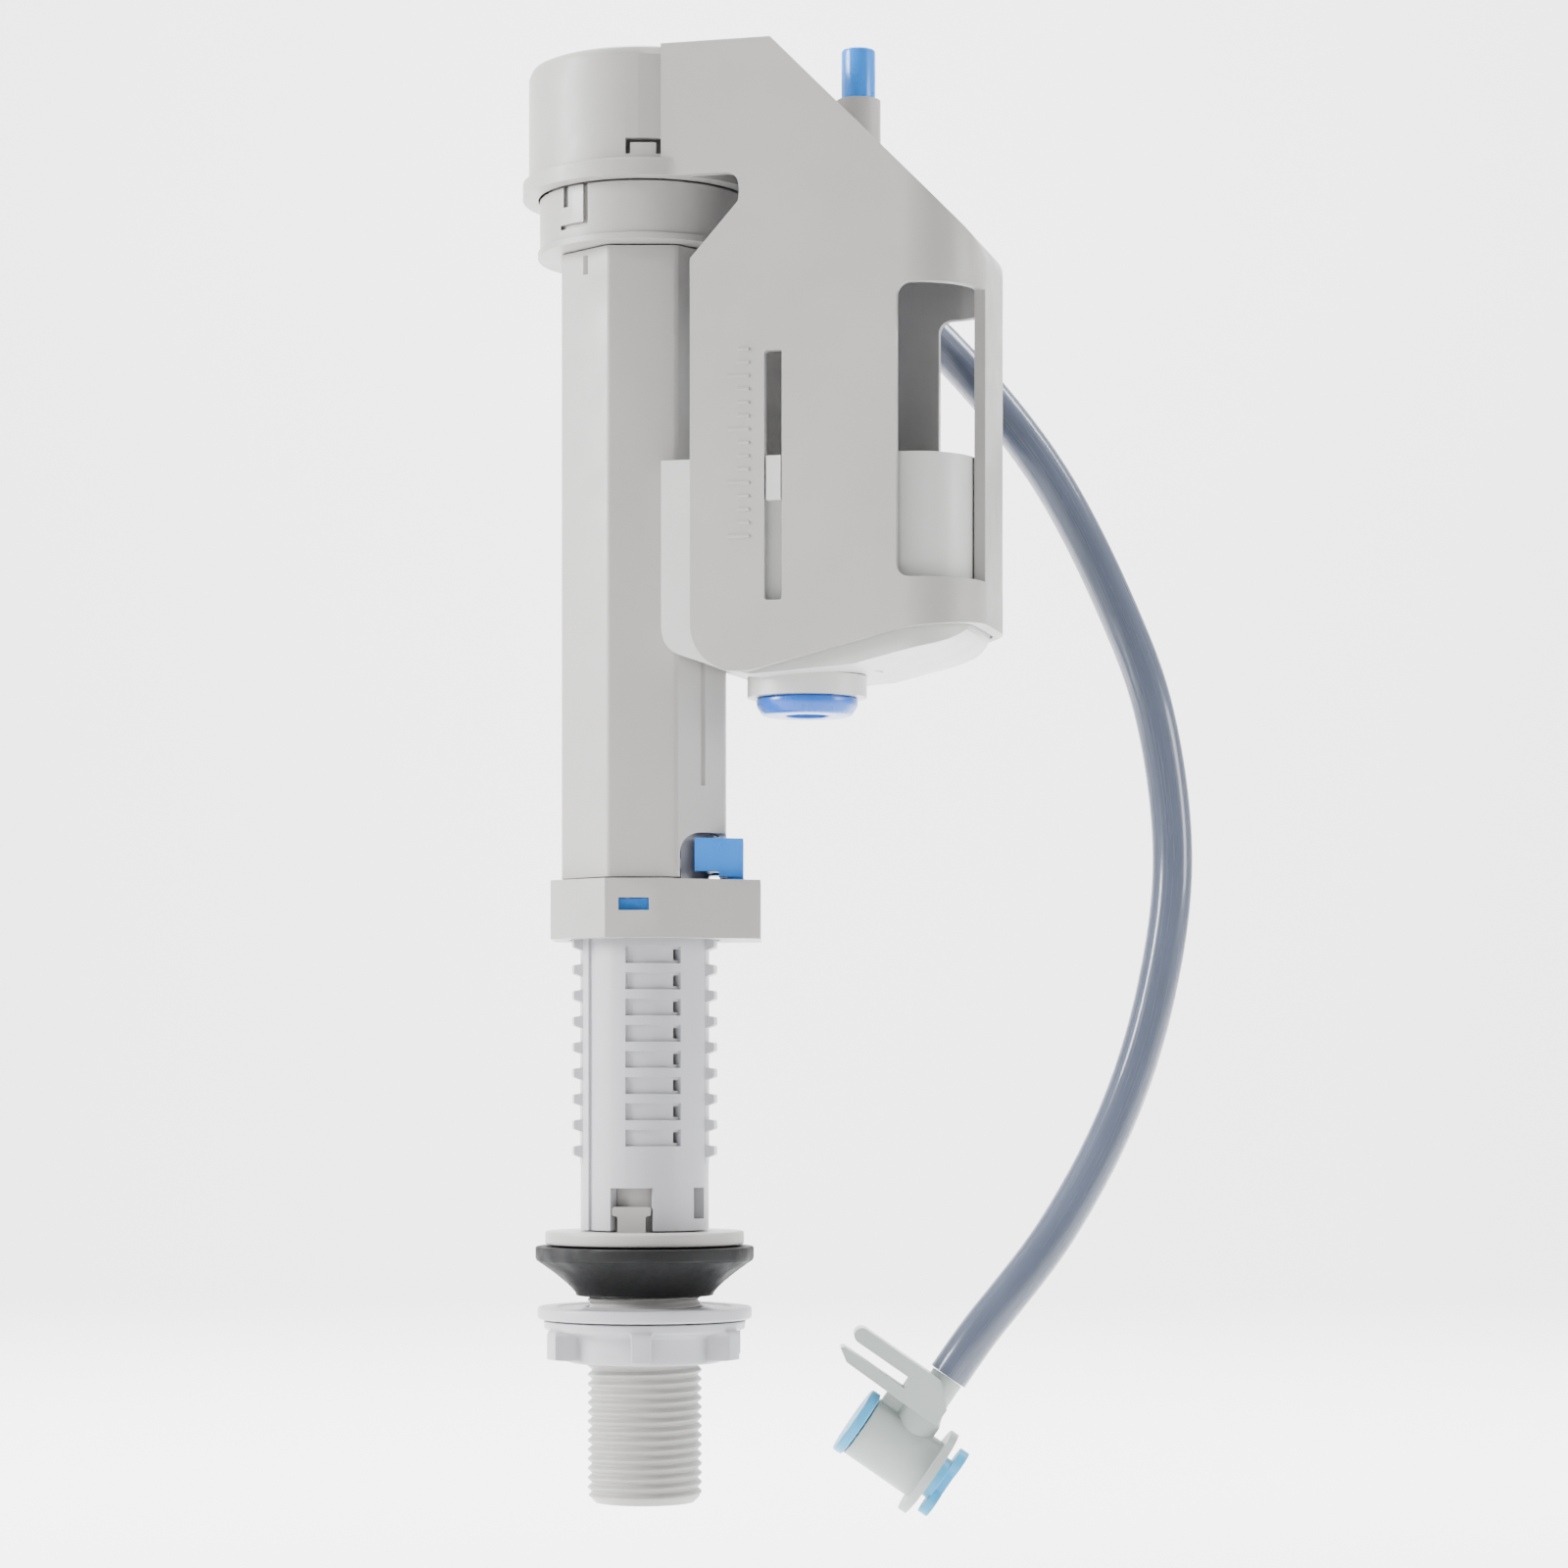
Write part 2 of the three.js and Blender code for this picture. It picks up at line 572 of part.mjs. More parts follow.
// The housing's side outline, its roof and end wall drawn in by the given amount.
function housingSide(inset) {
  const end = HOUSING_END - inset;
  const top = CAP_TOP - inset;
  const drop = inset * (Math.hypot(1, ROOF_SLOPE) - ROOF_SLOPE);
  const corner = shoulder - inset + ROOF_SLOPE * (inset + drop);
  const s = new THREE.Shape();
  const bottom = inset ? HOUSING_BOTTOM - 20 : HOUSING_BOTTOM;
  const rise = inset ? 0 : HOUSING_RISE;
  s.moveTo(HOUSING_FRONT + 9, bottom);
  s.lineTo(26, bottom).lineTo(HOUSING_END - HOUSING_CORNER, bottom + rise * 0.84).lineTo(end, bottom + rise);
  s.lineTo(end, shoulder - 4);
  s.quadraticCurveTo(end, corner, end - SHOULDER_ROUND, corner + SHOULDER_ROUND * ROOF_SLOPE);
  s.lineTo(roofEnd + drop, top);
  if (inset) {
    s.lineTo(HOUSING_FRONT - 25, top).lineTo(HOUSING_FRONT - 25, bottom);
    return s;
  }
  s.lineTo(9, top).lineTo(9, capBottom);
  s.lineTo(21.5, capBottom).quadraticCurveTo(25, capBottom, 24, capBottom - 5.5);
  s.lineTo(HOUSING_FRONT, HEAD_BOTTOM - 4.5).lineTo(HOUSING_FRONT, bottom + 9);
  s.absarc(HOUSING_FRONT + 9, bottom + 9, 9, Math.PI, 1.5 * Math.PI);
  return s;
}

function capShell() {
  const inner = CAP_R - WALL;
  return turned([
    [inner, capBottom],
    [CAP_LIP_R, capBottom],
    [CAP_LIP_R, capBottom + CAP_LIP],
    [CAP_R, capBottom + CAP_LIP + 0.6],
    [CAP_R, CAP_TOP - 2],
    [CAP_R - 0.6, CAP_TOP - 0.6],
    [CAP_R - 2, CAP_TOP],
    [0, CAP_TOP],
    [0, CAP_TOP - CAP_ROOF],
    [inner, CAP_TOP - CAP_ROOF],
  ], 56);
}

function housingShell() {
  const plan = nosePlan(0, HOUSING_END, HOUSING_HALF, HOUSING_CORNER);
  const outer = across(housingSide(0), -HOUSING_HALF, HOUSING_HALF).intersect(raised(plan, 0, 300));
  const innerPlan = nosePlan(-9, HOUSING_END - WALL, HOUSING_HALF - WALL, HOUSING_CORNER - WALL);
  const inner = across(housingSide(CAP_ROOF), -HOUSING_HALF, HOUSING_HALF);
  return cut(outer, inner.intersect(raised(innerPlan, 0, 300)));
}

// The slit round the cap's front catch: an upside-down U through the wall.
function catchSlit() {
  const y0 = -CAP_R - 1;
  const y1 = -CAP_R + WALL + 1;
  const slit = cut(
    block([CATCH_LEFT, y0, CATCH_TOP - CATCH_HEIGHT], [CATCH_RIGHT, y1, CATCH_TOP]),
    block([CATCH_LEFT + GROOVE_WIDTH, y0 - 1, 0], [CATCH_RIGHT - GROOVE_WIDTH, y1 + 1, CATCH_TOP - GROOVE_WIDTH]),
  );
  return slit.rotate([0, 0, STEM_TURN]);
}

function leverEars() {
  const ear = across(roundedBox(LEVER_PIVOT_X - 3, LEVER_PIVOT_Z - 3, LEVER_PIVOT_X + 3, CAP_TOP - 1, 2.5), 4.2, 6);
  const hole = moved(alongY(disc(PIN_R + GAP, 0, 20, 16)), LEVER_PIVOT_X, -10, LEVER_PIVOT_Z);
  return { ears: mirroredY(ear), hole };
}

function capHousing() {
  const capRoom = disc(CAP_R - WALL, capBottom - 20, CAP_TOP - CAP_ROOF, 56);
  const boss = moved(disc(BOSS_R, BOSS_BOTTOM, BOSS_TOP, 24), SCREW_X, 0, 0);
  const bossBore = moved(disc(SCREW_R + 2 * GAP, 190, BOSS_TOP + 1, 24), SCREW_X, 0, 0);
  const slot = across(
    roundedBox(SLOT_X - SLOT_WIDTH / 2, SLOT_BOTTOM, SLOT_X + SLOT_WIDTH / 2, SLOT_TOP, 0.6), -30, 30);
  const opening = roundedBox(HOUSING_END - HOUSING_CORNER - 1.2, WINDOW_BOTTOM, HOUSING_END + 5, WINDOW_TOP, 2.5);
  const window = mirroredY(across(opening, END_POST_HALF, HOUSING_HALF + 5));
  const leverWindow = block([HEAD_NECK_R, -6.5, HEAD_SHOULDER + 4], [CAP_R + 0.5, 6.5, LEVER_LEVEL + 5]);
  const walls = cut(join(capShell(), cut(housingShell(), capRoom)), slot, window, leverWindow, catchSlit());
  const { ears, hole } = leverEars();
  return cut(join(walls, boss, ears), bossBore, hole);
}

// ---- lever, link and level screw ----------------------------------------------------------------

function leverArm() {
  const pivot = LEVER_PIVOT_X;
  const path = [
    [-3, LEVER_LEVEL], [pivot - 8, LEVER_LEVEL], [pivot - 3.5, LEVER_LEVEL - 3], [pivot, LEVER_PIVOT_Z],
    [pivot + 4, FORK_LEVEL + 1.5], [SCREW_X - 6.5, FORK_LEVEL], [FORK_END, FORK_LEVEL],
  ];
  const half = LEVER_WIDTH / 2;
  const arm = across(ribbon(path, LEVER_THICKNESS), -half, half);
  const tines = block([SCREW_X - 8.5, -7, FORK_LEVEL - LEVER_THICKNESS / 2], [FORK_END, 7, FORK_LEVEL + LEVER_THICKNESS / 2]);
  const hub = moved(alongY(disc(2.6, 0, LEVER_WIDTH, 20)), LEVER_PIVOT_X, -half, LEVER_PIVOT_Z);
  const slot = block([SCREW_X - 5.2, -LINK_R - 0.6, 200], [60, LINK_R + 0.6, 220]);
  const hole = moved(alongY(disc(PIN_R + GAP, 0, 20, 16)), LEVER_PIVOT_X, -10, LEVER_PIVOT_Z);
  return cut(join(arm, tines, hub), slot, hole);
}

function leverPin() {
  return moved(alongY(disc(PIN_R, 0, 11.6, 16)), LEVER_PIVOT_X, -5.8, LEVER_PIVOT_Z);
}

const pilotTop = LEVER_LEVEL - LEVER_THICKNESS / 2 - GAP;
const pilotSeal = () => disc(3, pilotTop - 1.8, pilotTop, 24);

// A sleeve on the level screw whose two flanges hold the lever's fork.
function liftLink() {
  const low = FORK_LEVEL - LEVER_THICKNESS / 2 - 0.9;
  const high = FORK_LEVEL + LEVER_THICKNESS / 2 + 0.9;
  const bore = SCREW_R + GAP;
  const sleeve = turned([
    [bore, low - 4],
    [LINK_R, low - 4],
    [LINK_FLANGE_R, low - 1.6],
    [LINK_FLANGE_R, low],
    [LINK_R, low],
    [LINK_R, high],
    [LINK_FLANGE_R - 1, high],
    [LINK_FLANGE_R - 1, high + 1.2],
    [bore, high + 1.2],
  ], 24);
  return moved(sleeve, SCREW_X, 0, 0);
}

function levelScrew() {
  const knobBottom = BOSS_TOP + GAP;
  const body = turned([
    [0, SCREW_BOTTOM],
    [SCREW_R - 0.6, SCREW_BOTTOM],
    [SCREW_R, SCREW_BOTTOM + 0.8],
    [SCREW_R, knobBottom],
    [KNOB_R, knobBottom],
    [KNOB_R, KNOB_TOP - 0.7],
    [KNOB_R - 0.7, KNOB_TOP],
    [0, KNOB_TOP],
  ], 24);
  const driverSlot = block([-KNOB_R - 1, -0.5, KNOB_TOP - 1.6], [KNOB_R + 1, 0.5, KNOB_TOP + 1]);
  return moved(cut(body, driverSlot), SCREW_X, 0, 0);
}

// ---- float and check valve -------------------------------------------------------------------------

const floatHalf = HOUSING_HALF - WALL - 2 * GAP;
const floatEnd = HOUSING_END - WALL - 2 * GAP;

// The float's side outline, drawn in by a wall thickness and carried past the rim when it is the inside.
function floatSide(inset) {
  const front = FLOAT_FRONT + inset;
  const end = floatEnd - inset;
  const bottom = FLOAT_BOTTOM + inset;
  const rim = inset ? FLOAT_RIM + 20 : FLOAT_RIM;
  const s = new THREE.Shape();
  s.moveTo(front, rim).lineTo(front, bottom + 9.5);
  s.quadraticCurveTo(front, bottom + 4.5, front + 5, bottom + 3.6).lineTo(20, bottom + 1.2);
  s.lineTo(26, bottom).lineTo(end - 21, bottom + 1.4).lineTo(end - 6.5, bottom + 4.9);
  s.quadraticCurveTo(end, bottom + 6.5, end, bottom + 11).lineTo(end, rim);
  return s;
}

function floatBody(inset) {
  const half = floatHalf - inset;
  const corner = HOUSING_CORNER - WALL - inset;
  const plan = nosePlan(FLOAT_FRONT - 5, floatEnd - inset, half, corner);
  const filled = across(floatSide(inset), -half, half).intersect(raised(plan, 0, 300));
  return cut(filled, disc(RECESS_R + inset, 0, 300, 48));
}

const checkSpigotR = CHECK_BOSS_R - 2;

function floatCup() {
  const boss = moved(disc(CHECK_BOSS_R, CHECK_BOSS_BOTTOM, FLOAT_BOTTOM + 1, 40), CHECK_X, 0, 0);
  const bossRoom = moved(disc(checkSpigotR, CHECK_BOSS_BOTTOM - 1, FLOAT_BOTTOM - 0.4, 40), CHECK_X, 0, 0);
  const drain = moved(disc(CHECK_HOLE_R, CHECK_BOSS_BOTTOM, FLOAT_BOTTOM + 6, 24), CHECK_X, 0, 0);
  const tower = moved(disc(TOWER_R, FLOAT_BOTTOM + 1.5, TOWER_TOP, 24), SCREW_X, 0, 0);
  const towerBore = moved(disc(SCREW_R + GAP, FLOAT_BOTTOM + 4, TOWER_TOP + 1, 24), SCREW_X, 0, 0);
  const half = SLOT_WIDTH / 2 - GAP;
  const pointer = block([SLOT_X - half, floatHalf - 1, POINTER_BOTTOM], [SLOT_X + half, HOUSING_HALF - 0.2, FLOAT_RIM - 0.2]);
  const shell = cut(floatBody(0), floatBody(FLOAT_WALL));
  return cut(join(shell, boss, tower, mirroredY(pointer)), bossRoom, drain, towerBore);
}

function checkValveRing() {
  const spigot = checkSpigotR - GAP;
  const face = CHECK_BOSS_BOTTOM - GAP;
  const body = turned([
    [CHECK_HOLE_R, CHECK_RING_BOTTOM],
    [8.5, CHECK_RING_BOTTOM],
    [9.8, face - 1],
    [9.8, face],
    [spigot, face],
    [spigot, FLOAT_BOTTOM - 1.2],
    [spigot - 1.2, FLOAT_BOTTOM - 1.2],
    [spigot - 1.2, CHECK_RING_BOTTOM + 1.8],
    [CHECK_HOLE_R, CHECK_RING_BOTTOM + 1.8],
  ], 40);
  return moved(body, CHECK_X, 0, 0);
}

function checkDisc() {
  const bottom = CHECK_RING_BOTTOM + 1.8 + GAP;
  return moved(disc(checkSpigotR - GAP - 1.6, bottom, bottom + 1, 32), CHECK_X, 0, 0);
}

// ---- refill hose and overflow clip ------------------------------------------------------------------

// The hose's centreline, from the elbow behind the head to the clip's neck.
function hosePath() {
  const turn = new THREE.Matrix4().makeRotationZ(-radians(STEM_TURN));
  const start = new THREE.Vector3(ELBOW_END + GAP, ELBOW_Y, ELBOW_Z).applyMatrix4(turn);
  const second = new THREE.Vector3(ELBOW_END + 14, ELBOW_Y, ELBOW_Z - 0.4).applyMatrix4(turn);
  const along = new THREE.Vector3(Math.sin(radians(CLIP_TILT)), 0, Math.cos(radians(CLIP_TILT)));
  const neck = new THREE.Vector3(CLIP_X, 0, CLIP_Z).addScaledVector(along, CLIP_NECK + GAP);
  const approach = neck.clone().addScaledVector(along, 9);
  const free = [
    [47, 18.5, 197.5], [62.3, 14, 182.5], [79.1, 12, 160.7], [92.5, 11, 134.3], [99.7, 10, 113.9],
    [103.3, 10, 84.9], [99.9, 9, 58.7], [92.5, 7, 35.4], [79.9, 3, 12.2],
  ];
  return new THREE.CatmullRomCurve3(
    [start, second, ...free.map((p) => new THREE.Vector3(...p)), approach, neck], false, "centripetal");
}

function refillHose() {
  const section = new THREE.Shape();
  section.absarc(0, 0, HOSE_R, 0, 2 * Math.PI);
  const options = { steps: 40, curveSegments: 6, bevelEnabled: false, extrudePath: hosePath() };
  return solidOf(new THREE.ExtrudeGeometry(section, options));
}

const clipHalf = CLIP_BODY_LENGTH / 2;
const plugBoreR = 3.4;

// In the clip's own frame the barrel lies along X and the neck rises along Z.
function clipBody() {
  const barrel = alongX(disc(CLIP_BODY_R, -clipHalf, clipHalf, 32));
  const flange = alongX(disc(CLIP_FLANGE_R, clipHalf - 1.6, clipHalf, 32));
  const neck = turned([[0, 0], [4.4, 0], [4.4, 8], [3.3, 11], [3.3, CLIP_NECK], [0, CLIP_NECK]], 24);
  const half = CLIP_WIDTH / 2;
  const lowJaw = 8.6;
  const highJaw = lowJaw + 2.2 + JAW_GAP;
  const jaws = new THREE.Shape();
  jaws.moveTo(1, lowJaw - 0.4).lineTo(-18, lowJaw).lineTo(-20.5, lowJaw + 1.6).lineTo(-20, lowJaw + 2.2);
  jaws.lineTo(-6, lowJaw + 2.2).lineTo(-6, highJaw).lineTo(-18.4, highJaw);
  jaws.absarc(-18.4, highJaw + 1.5, 1.5, 1.5 * Math.PI, 0.5 * Math.PI, true);
  jaws.lineTo(-1, highJaw + 3).lineTo(3.2, highJaw - 1).lineTo(3.2, lowJaw - 0.4);
  const web = block([-8, -1.5, 0], [1, 1.5, lowJaw]);
  const bore = alongX(disc(plugBoreR, -clipHalf + 3, clipHalf + 1, 24));
  return cut(join(barrel, flange, neck, web, across(jaws, -half, half)), bore);
}

function clipPlug() {
  const x = -clipHalf - GAP;
  return alongX(disc(6.95, x - 2, x, 32));
}

function flowAdjuster() {
  const stemPart = alongX(disc(plugBoreR - GAP, -clipHalf + 5, clipHalf + GAP, 24));
  const head = alongX(disc(4.4, clipHalf + GAP, clipHalf + 2, 24));
  const lobe = moved(alongX(disc(3, 0, 2, 20)), clipHalf + 1.8, 0, 4.4);
  const waist = block([clipHalf + 1.8, -1.6, -4.4], [clipHalf + 3.8, 1.6, 4.4]);
  return join(stemPart, head, lobe, lobe.mirror([0, 0, 1]), waist);
}

// ---- assembly -----------------------------------------------------------------------------------------

add("shank_base", shankBase(), BODY_WHITE, stem);
add("tank_washer", tankWasher(), RUBBER);
add("friction_washer", ring(PLATE_R, SHANK_R + GAP, plateTop - PLATE_THICKNESS, plateTop), RISER_WHITE);
add("lock_nut", lockNut(), RISER_WHITE, stem);
add("riser_sleeve", riserSleeve(), RISER_WHITE, stem);
add("outer_tube", outerTube(), BODY_WHITE, stem);
add("lock_collar", lockCollar(), BODY_WHITE, stem);
add("lock_latch", lockLatch(), BLUE, stem);
add("head_body", headBody(), BODY_WHITE);
add("down_pipe", downPipe(), RISER_WHITE);
add("pipe_seal", pipeSeal(), RUBBER);
add("diaphragm", diaphragm(), RUBBER);
add("valve_bonnet", valveBonnet(), BLUE);
add("cap_housing", capHousing(), BODY_WHITE);
add("lever_arm", leverArm(), BODY_WHITE);
add("lever_pin", leverPin(), FLOAT_WHITE);
add("pilot_seal", pilotSeal(), RUBBER);
add("lift_link", liftLink(), FLOAT_WHITE);
add("level_screw", levelScrew(), BLUE);
add("float_cup", floatCup(), FLOAT_WHITE);
add("check_valve_ring", checkValveRing(), DEEP_BLUE);
add("check_disc", checkDisc(), RUBBER);
add("refill_hose", refillHose(), HOSE_GREY, stem);
add("clip_body", clipBody(), CLIP_WHITE, clip);
add("clip_plug", clipPlug(), PALE_BLUE, clip);
add("flow_adjuster", flowAdjuster(), PALE_BLUE, clip);

export default valve;
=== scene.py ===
"""Toilet fill valve: moulded riser, head and float housing with a rubber cone washer,
a threaded shank with its nut, blue trim, and a refill hose with its overflow clip.
Metres, +Z up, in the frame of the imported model."""
import json
import math

import bmesh
import bpy
import numpy as np
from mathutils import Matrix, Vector

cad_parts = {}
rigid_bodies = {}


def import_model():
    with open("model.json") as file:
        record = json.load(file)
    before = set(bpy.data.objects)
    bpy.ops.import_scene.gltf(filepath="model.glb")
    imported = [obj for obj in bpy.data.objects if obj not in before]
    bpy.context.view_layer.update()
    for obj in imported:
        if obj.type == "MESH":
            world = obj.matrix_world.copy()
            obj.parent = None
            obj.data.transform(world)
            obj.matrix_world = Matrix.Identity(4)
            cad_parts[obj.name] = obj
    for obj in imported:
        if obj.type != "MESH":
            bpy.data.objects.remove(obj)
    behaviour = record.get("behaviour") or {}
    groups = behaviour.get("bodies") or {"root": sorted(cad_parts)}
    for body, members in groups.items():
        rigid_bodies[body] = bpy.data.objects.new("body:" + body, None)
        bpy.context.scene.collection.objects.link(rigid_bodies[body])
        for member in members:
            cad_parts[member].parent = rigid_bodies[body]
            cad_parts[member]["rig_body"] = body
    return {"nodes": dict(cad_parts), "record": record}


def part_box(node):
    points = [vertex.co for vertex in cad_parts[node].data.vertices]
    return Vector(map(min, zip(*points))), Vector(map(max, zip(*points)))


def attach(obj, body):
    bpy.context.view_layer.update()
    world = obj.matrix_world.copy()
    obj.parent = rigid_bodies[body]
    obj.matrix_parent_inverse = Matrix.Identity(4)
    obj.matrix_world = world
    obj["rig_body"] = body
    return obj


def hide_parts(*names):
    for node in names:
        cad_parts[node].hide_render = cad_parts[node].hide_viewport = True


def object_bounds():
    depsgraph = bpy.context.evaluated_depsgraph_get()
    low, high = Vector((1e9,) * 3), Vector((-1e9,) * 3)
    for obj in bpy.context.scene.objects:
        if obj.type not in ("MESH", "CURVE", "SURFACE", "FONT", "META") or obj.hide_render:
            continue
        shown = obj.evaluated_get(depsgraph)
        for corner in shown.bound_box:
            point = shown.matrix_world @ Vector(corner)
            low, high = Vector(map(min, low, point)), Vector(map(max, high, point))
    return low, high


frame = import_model()
record = frame["record"]
cad_box = [list(map(float, corner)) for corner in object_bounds()]

MM = 0.001
STEM_TURN = math.radians(14)  # the racks, collar, hose and clip are turned by this about Z
CLIP_TILT = math.radians(34.8)
FLOOR_DROP = 0.043  # metres from the part's lowest point to the floor

# Sizes from here on are in millimetres unless a comment says otherwise.
SKIN = 0.02  # a made surface stays this far inside its node's box
THREAD_PITCH = 25.4 / 14
SCREW_AT = 42.5  # the level screw's axis along X
HOUSING_SIDE = -20.5  # the housing's near wall along Y


def body_of(node):
    """The CAD body that a node belongs to."""
    return frame["nodes"][node]["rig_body"]


def slot_of(node):
    """The record's material slot of a node."""
    return next(s["material_slot"] for s in record["subparts"] if s["node"] == node)


def heights_of(node):
    """The bottom and top of a node's box."""
    return (corner[2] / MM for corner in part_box(node))


def placed(name, data):
    """A new object that holds the data, linked to the scene."""
    holder = bpy.data.objects.new(name, data)
    bpy.context.scene.collection.objects.link(holder)
    return holder


# ---- camera ---------------------------------------------------------------------------------


def turned_about_z(points, angle=STEM_TURN):
    """Rotate points about Z: x cos - y sin, x sin + y cos."""
    x, y, z = np.moveaxis(np.asarray(points, float), -1, 0)
    c, s = math.cos(angle), math.sin(angle)
    return np.stack([x * c - y * s, x * s + y * c, z], axis=-1)


def make_camera():
    """A level long-lens view, 760 mm from the tube's axis."""
    lens = bpy.data.cameras.new("camera")
    lens.lens = 90
    lens.shift_y = 0.196
    eye = placed("camera", lens)
    eye.location = turned_about_z([27 * MM, -760 * MM, 39.5 * MM])
    eye.rotation_euler = (math.pi / 2, 0, STEM_TURN)
    bpy.context.scene.camera = eye


make_camera()

# ---- surfaces ---------------------------------------------------------------------------------


def mesh_object(name, vertices, faces):
    """A mesh from a vertex array and a list of faces, shaded smooth except over sharp edges."""
    mesh = bpy.data.meshes.new(name)
    mesh.from_pydata(np.asarray(vertices).reshape(-1, 3).tolist(), [], faces)
    mesh.validate()
    mesh.shade_smooth()
    mesh.set_sharp_from_angle(angle=math.radians(35))
    return placed(name, mesh)


def grid_faces(rows, columns, wrap_rows, wrap_columns):
    """Quads over a grid of rows x columns, joined round where a direction wraps."""
    i = np.arange(rows if wrap_rows else rows - 1)
    j = np.arange(columns if wrap_columns else columns - 1)
    i, j = (a.ravel() for a in np.meshgrid(i, j, indexing="ij"))
    i2, j2 = (i + 1) % rows, (j + 1) % columns
    quads = np.stack([i * columns + j, i * columns + j2, i2 * columns + j2, i2 * columns + j], axis=-1)
    return quads.tolist()


def end_faces(rows, columns):
    """One face over the first row of a grid and one over its last."""
    return [list(range(columns)), list(range((rows - 1) * columns, rows * columns))]


def side_faces(rows, columns):
    """One face over the first column of a grid and one over its last."""
    first = [row * columns for row in range(rows)]
    return [first, [i + columns - 1 for i in first]]


def around(radius, a, z):
    """Points at a radius and an angle about Z: (radius cos a, radius sin a, z)."""
    return np.stack(np.broadcast_arrays(radius * np.cos(a), radius * np.sin(a), z), axis=-1)


def full_turn(sides):
    """Evenly spaced angles round a circle, as one row."""
    return np.linspace(0, 2 * math.pi, sides, endpoint=False)[None, :]


def arc_outline(corners, steps=4):
    """Corners (a, b, radius) joined by straight lines, each corner replaced by a quadratic curve
    that starts and ends its radius away: (1-t)^2 p + 2t(1-t) c + t^2 q."""
    xy = np.array([c[:2] for c in corners], float)
    before, after = np.roll(xy, 1, axis=0) - xy, np.roll(xy, -1, axis=0) - xy
    t = np.linspace(0, 1, steps + 1)[:, None]
    out = []
    for c, b, a, r in zip(xy, before, after, [c[2] for c in corners]):
        if r == 0:
            out.append(c[None])
            continue
        p = c + b * min(r / np.linalg.norm(b), 0.45)
        q = c + a * min(r / np.linalg.norm(a), 0.45)
        out.append((1 - t) ** 2 * p + 2 * t * (1 - t) * c + t**2 * q)
    return np.concatenate(out)


def revolved(name, outline, sides=128, swell=None, centre_x=0):
    """A closed ring: the (r, z) outline carried round an upright axis,
    point = (x + (r + swell) cos a, (r + swell) sin a, z), where swell(a, r, z) adds lugs."""
    a = full_turn(sides)
    r, z = outline[:, :1], outline[:, 1:]
    points = around(r + swell(a, r, z) if swell else r, a, z) + [centre_x, 0, 0]
    piece = mesh_object(name, points * MM, grid_faces(len(outline), sides, True, True))
    return point_outwards(piece)


def point_outwards(piece):
    """Merge doubles and turn every face outwards."""
    bm = bmesh.new()
    bm.from_mesh(piece.data)
    bmesh.ops.remove_doubles(bm, verts=bm.verts, dist=1e-7)
    bmesh.ops.recalc_face_normals(bm, faces=bm.faces)
    bm.to_mesh(piece.data)
    bm.free()
    return piece


def moulded(node, edge):
    """A node's shape as the mould leaves it: its flat faces whole, its corners broken by a small
    round of the given width, and its curved faces smooth."""
    bm = bmesh.new()
    bm.from_mesh(frame["nodes"][node].data)
    bmesh.ops.remove_doubles(bm, verts=bm.verts, dist=2e-6)
    bmesh.ops.dissolve_limit(bm, angle_limit=math.radians(1.2), verts=bm.verts, edges=bm.edges)
    mesh = bpy.data.meshes.new(node + "_moulded")
    bm.to_mesh(mesh)
    bm.free()
    mesh.materials.clear()
    mesh.shade_smooth()
    mesh.set_sharp_from_angle(angle=math.radians(32))
    piece = placed(node + "_moulded", mesh)
    bevel = piece.modifiers.new("edges", "BEVEL")
    bevel.width = edge * MM
    bevel.segments = 2
    bevel.limit_method = "ANGLE"
    bevel.angle_limit = math.radians(38)
    even = piece.modifiers.new("even shading", "WEIGHTED_NORMAL")
    even.keep_sharp = True
    return piece


# ---- materials --------------------------------------------------------------------------------


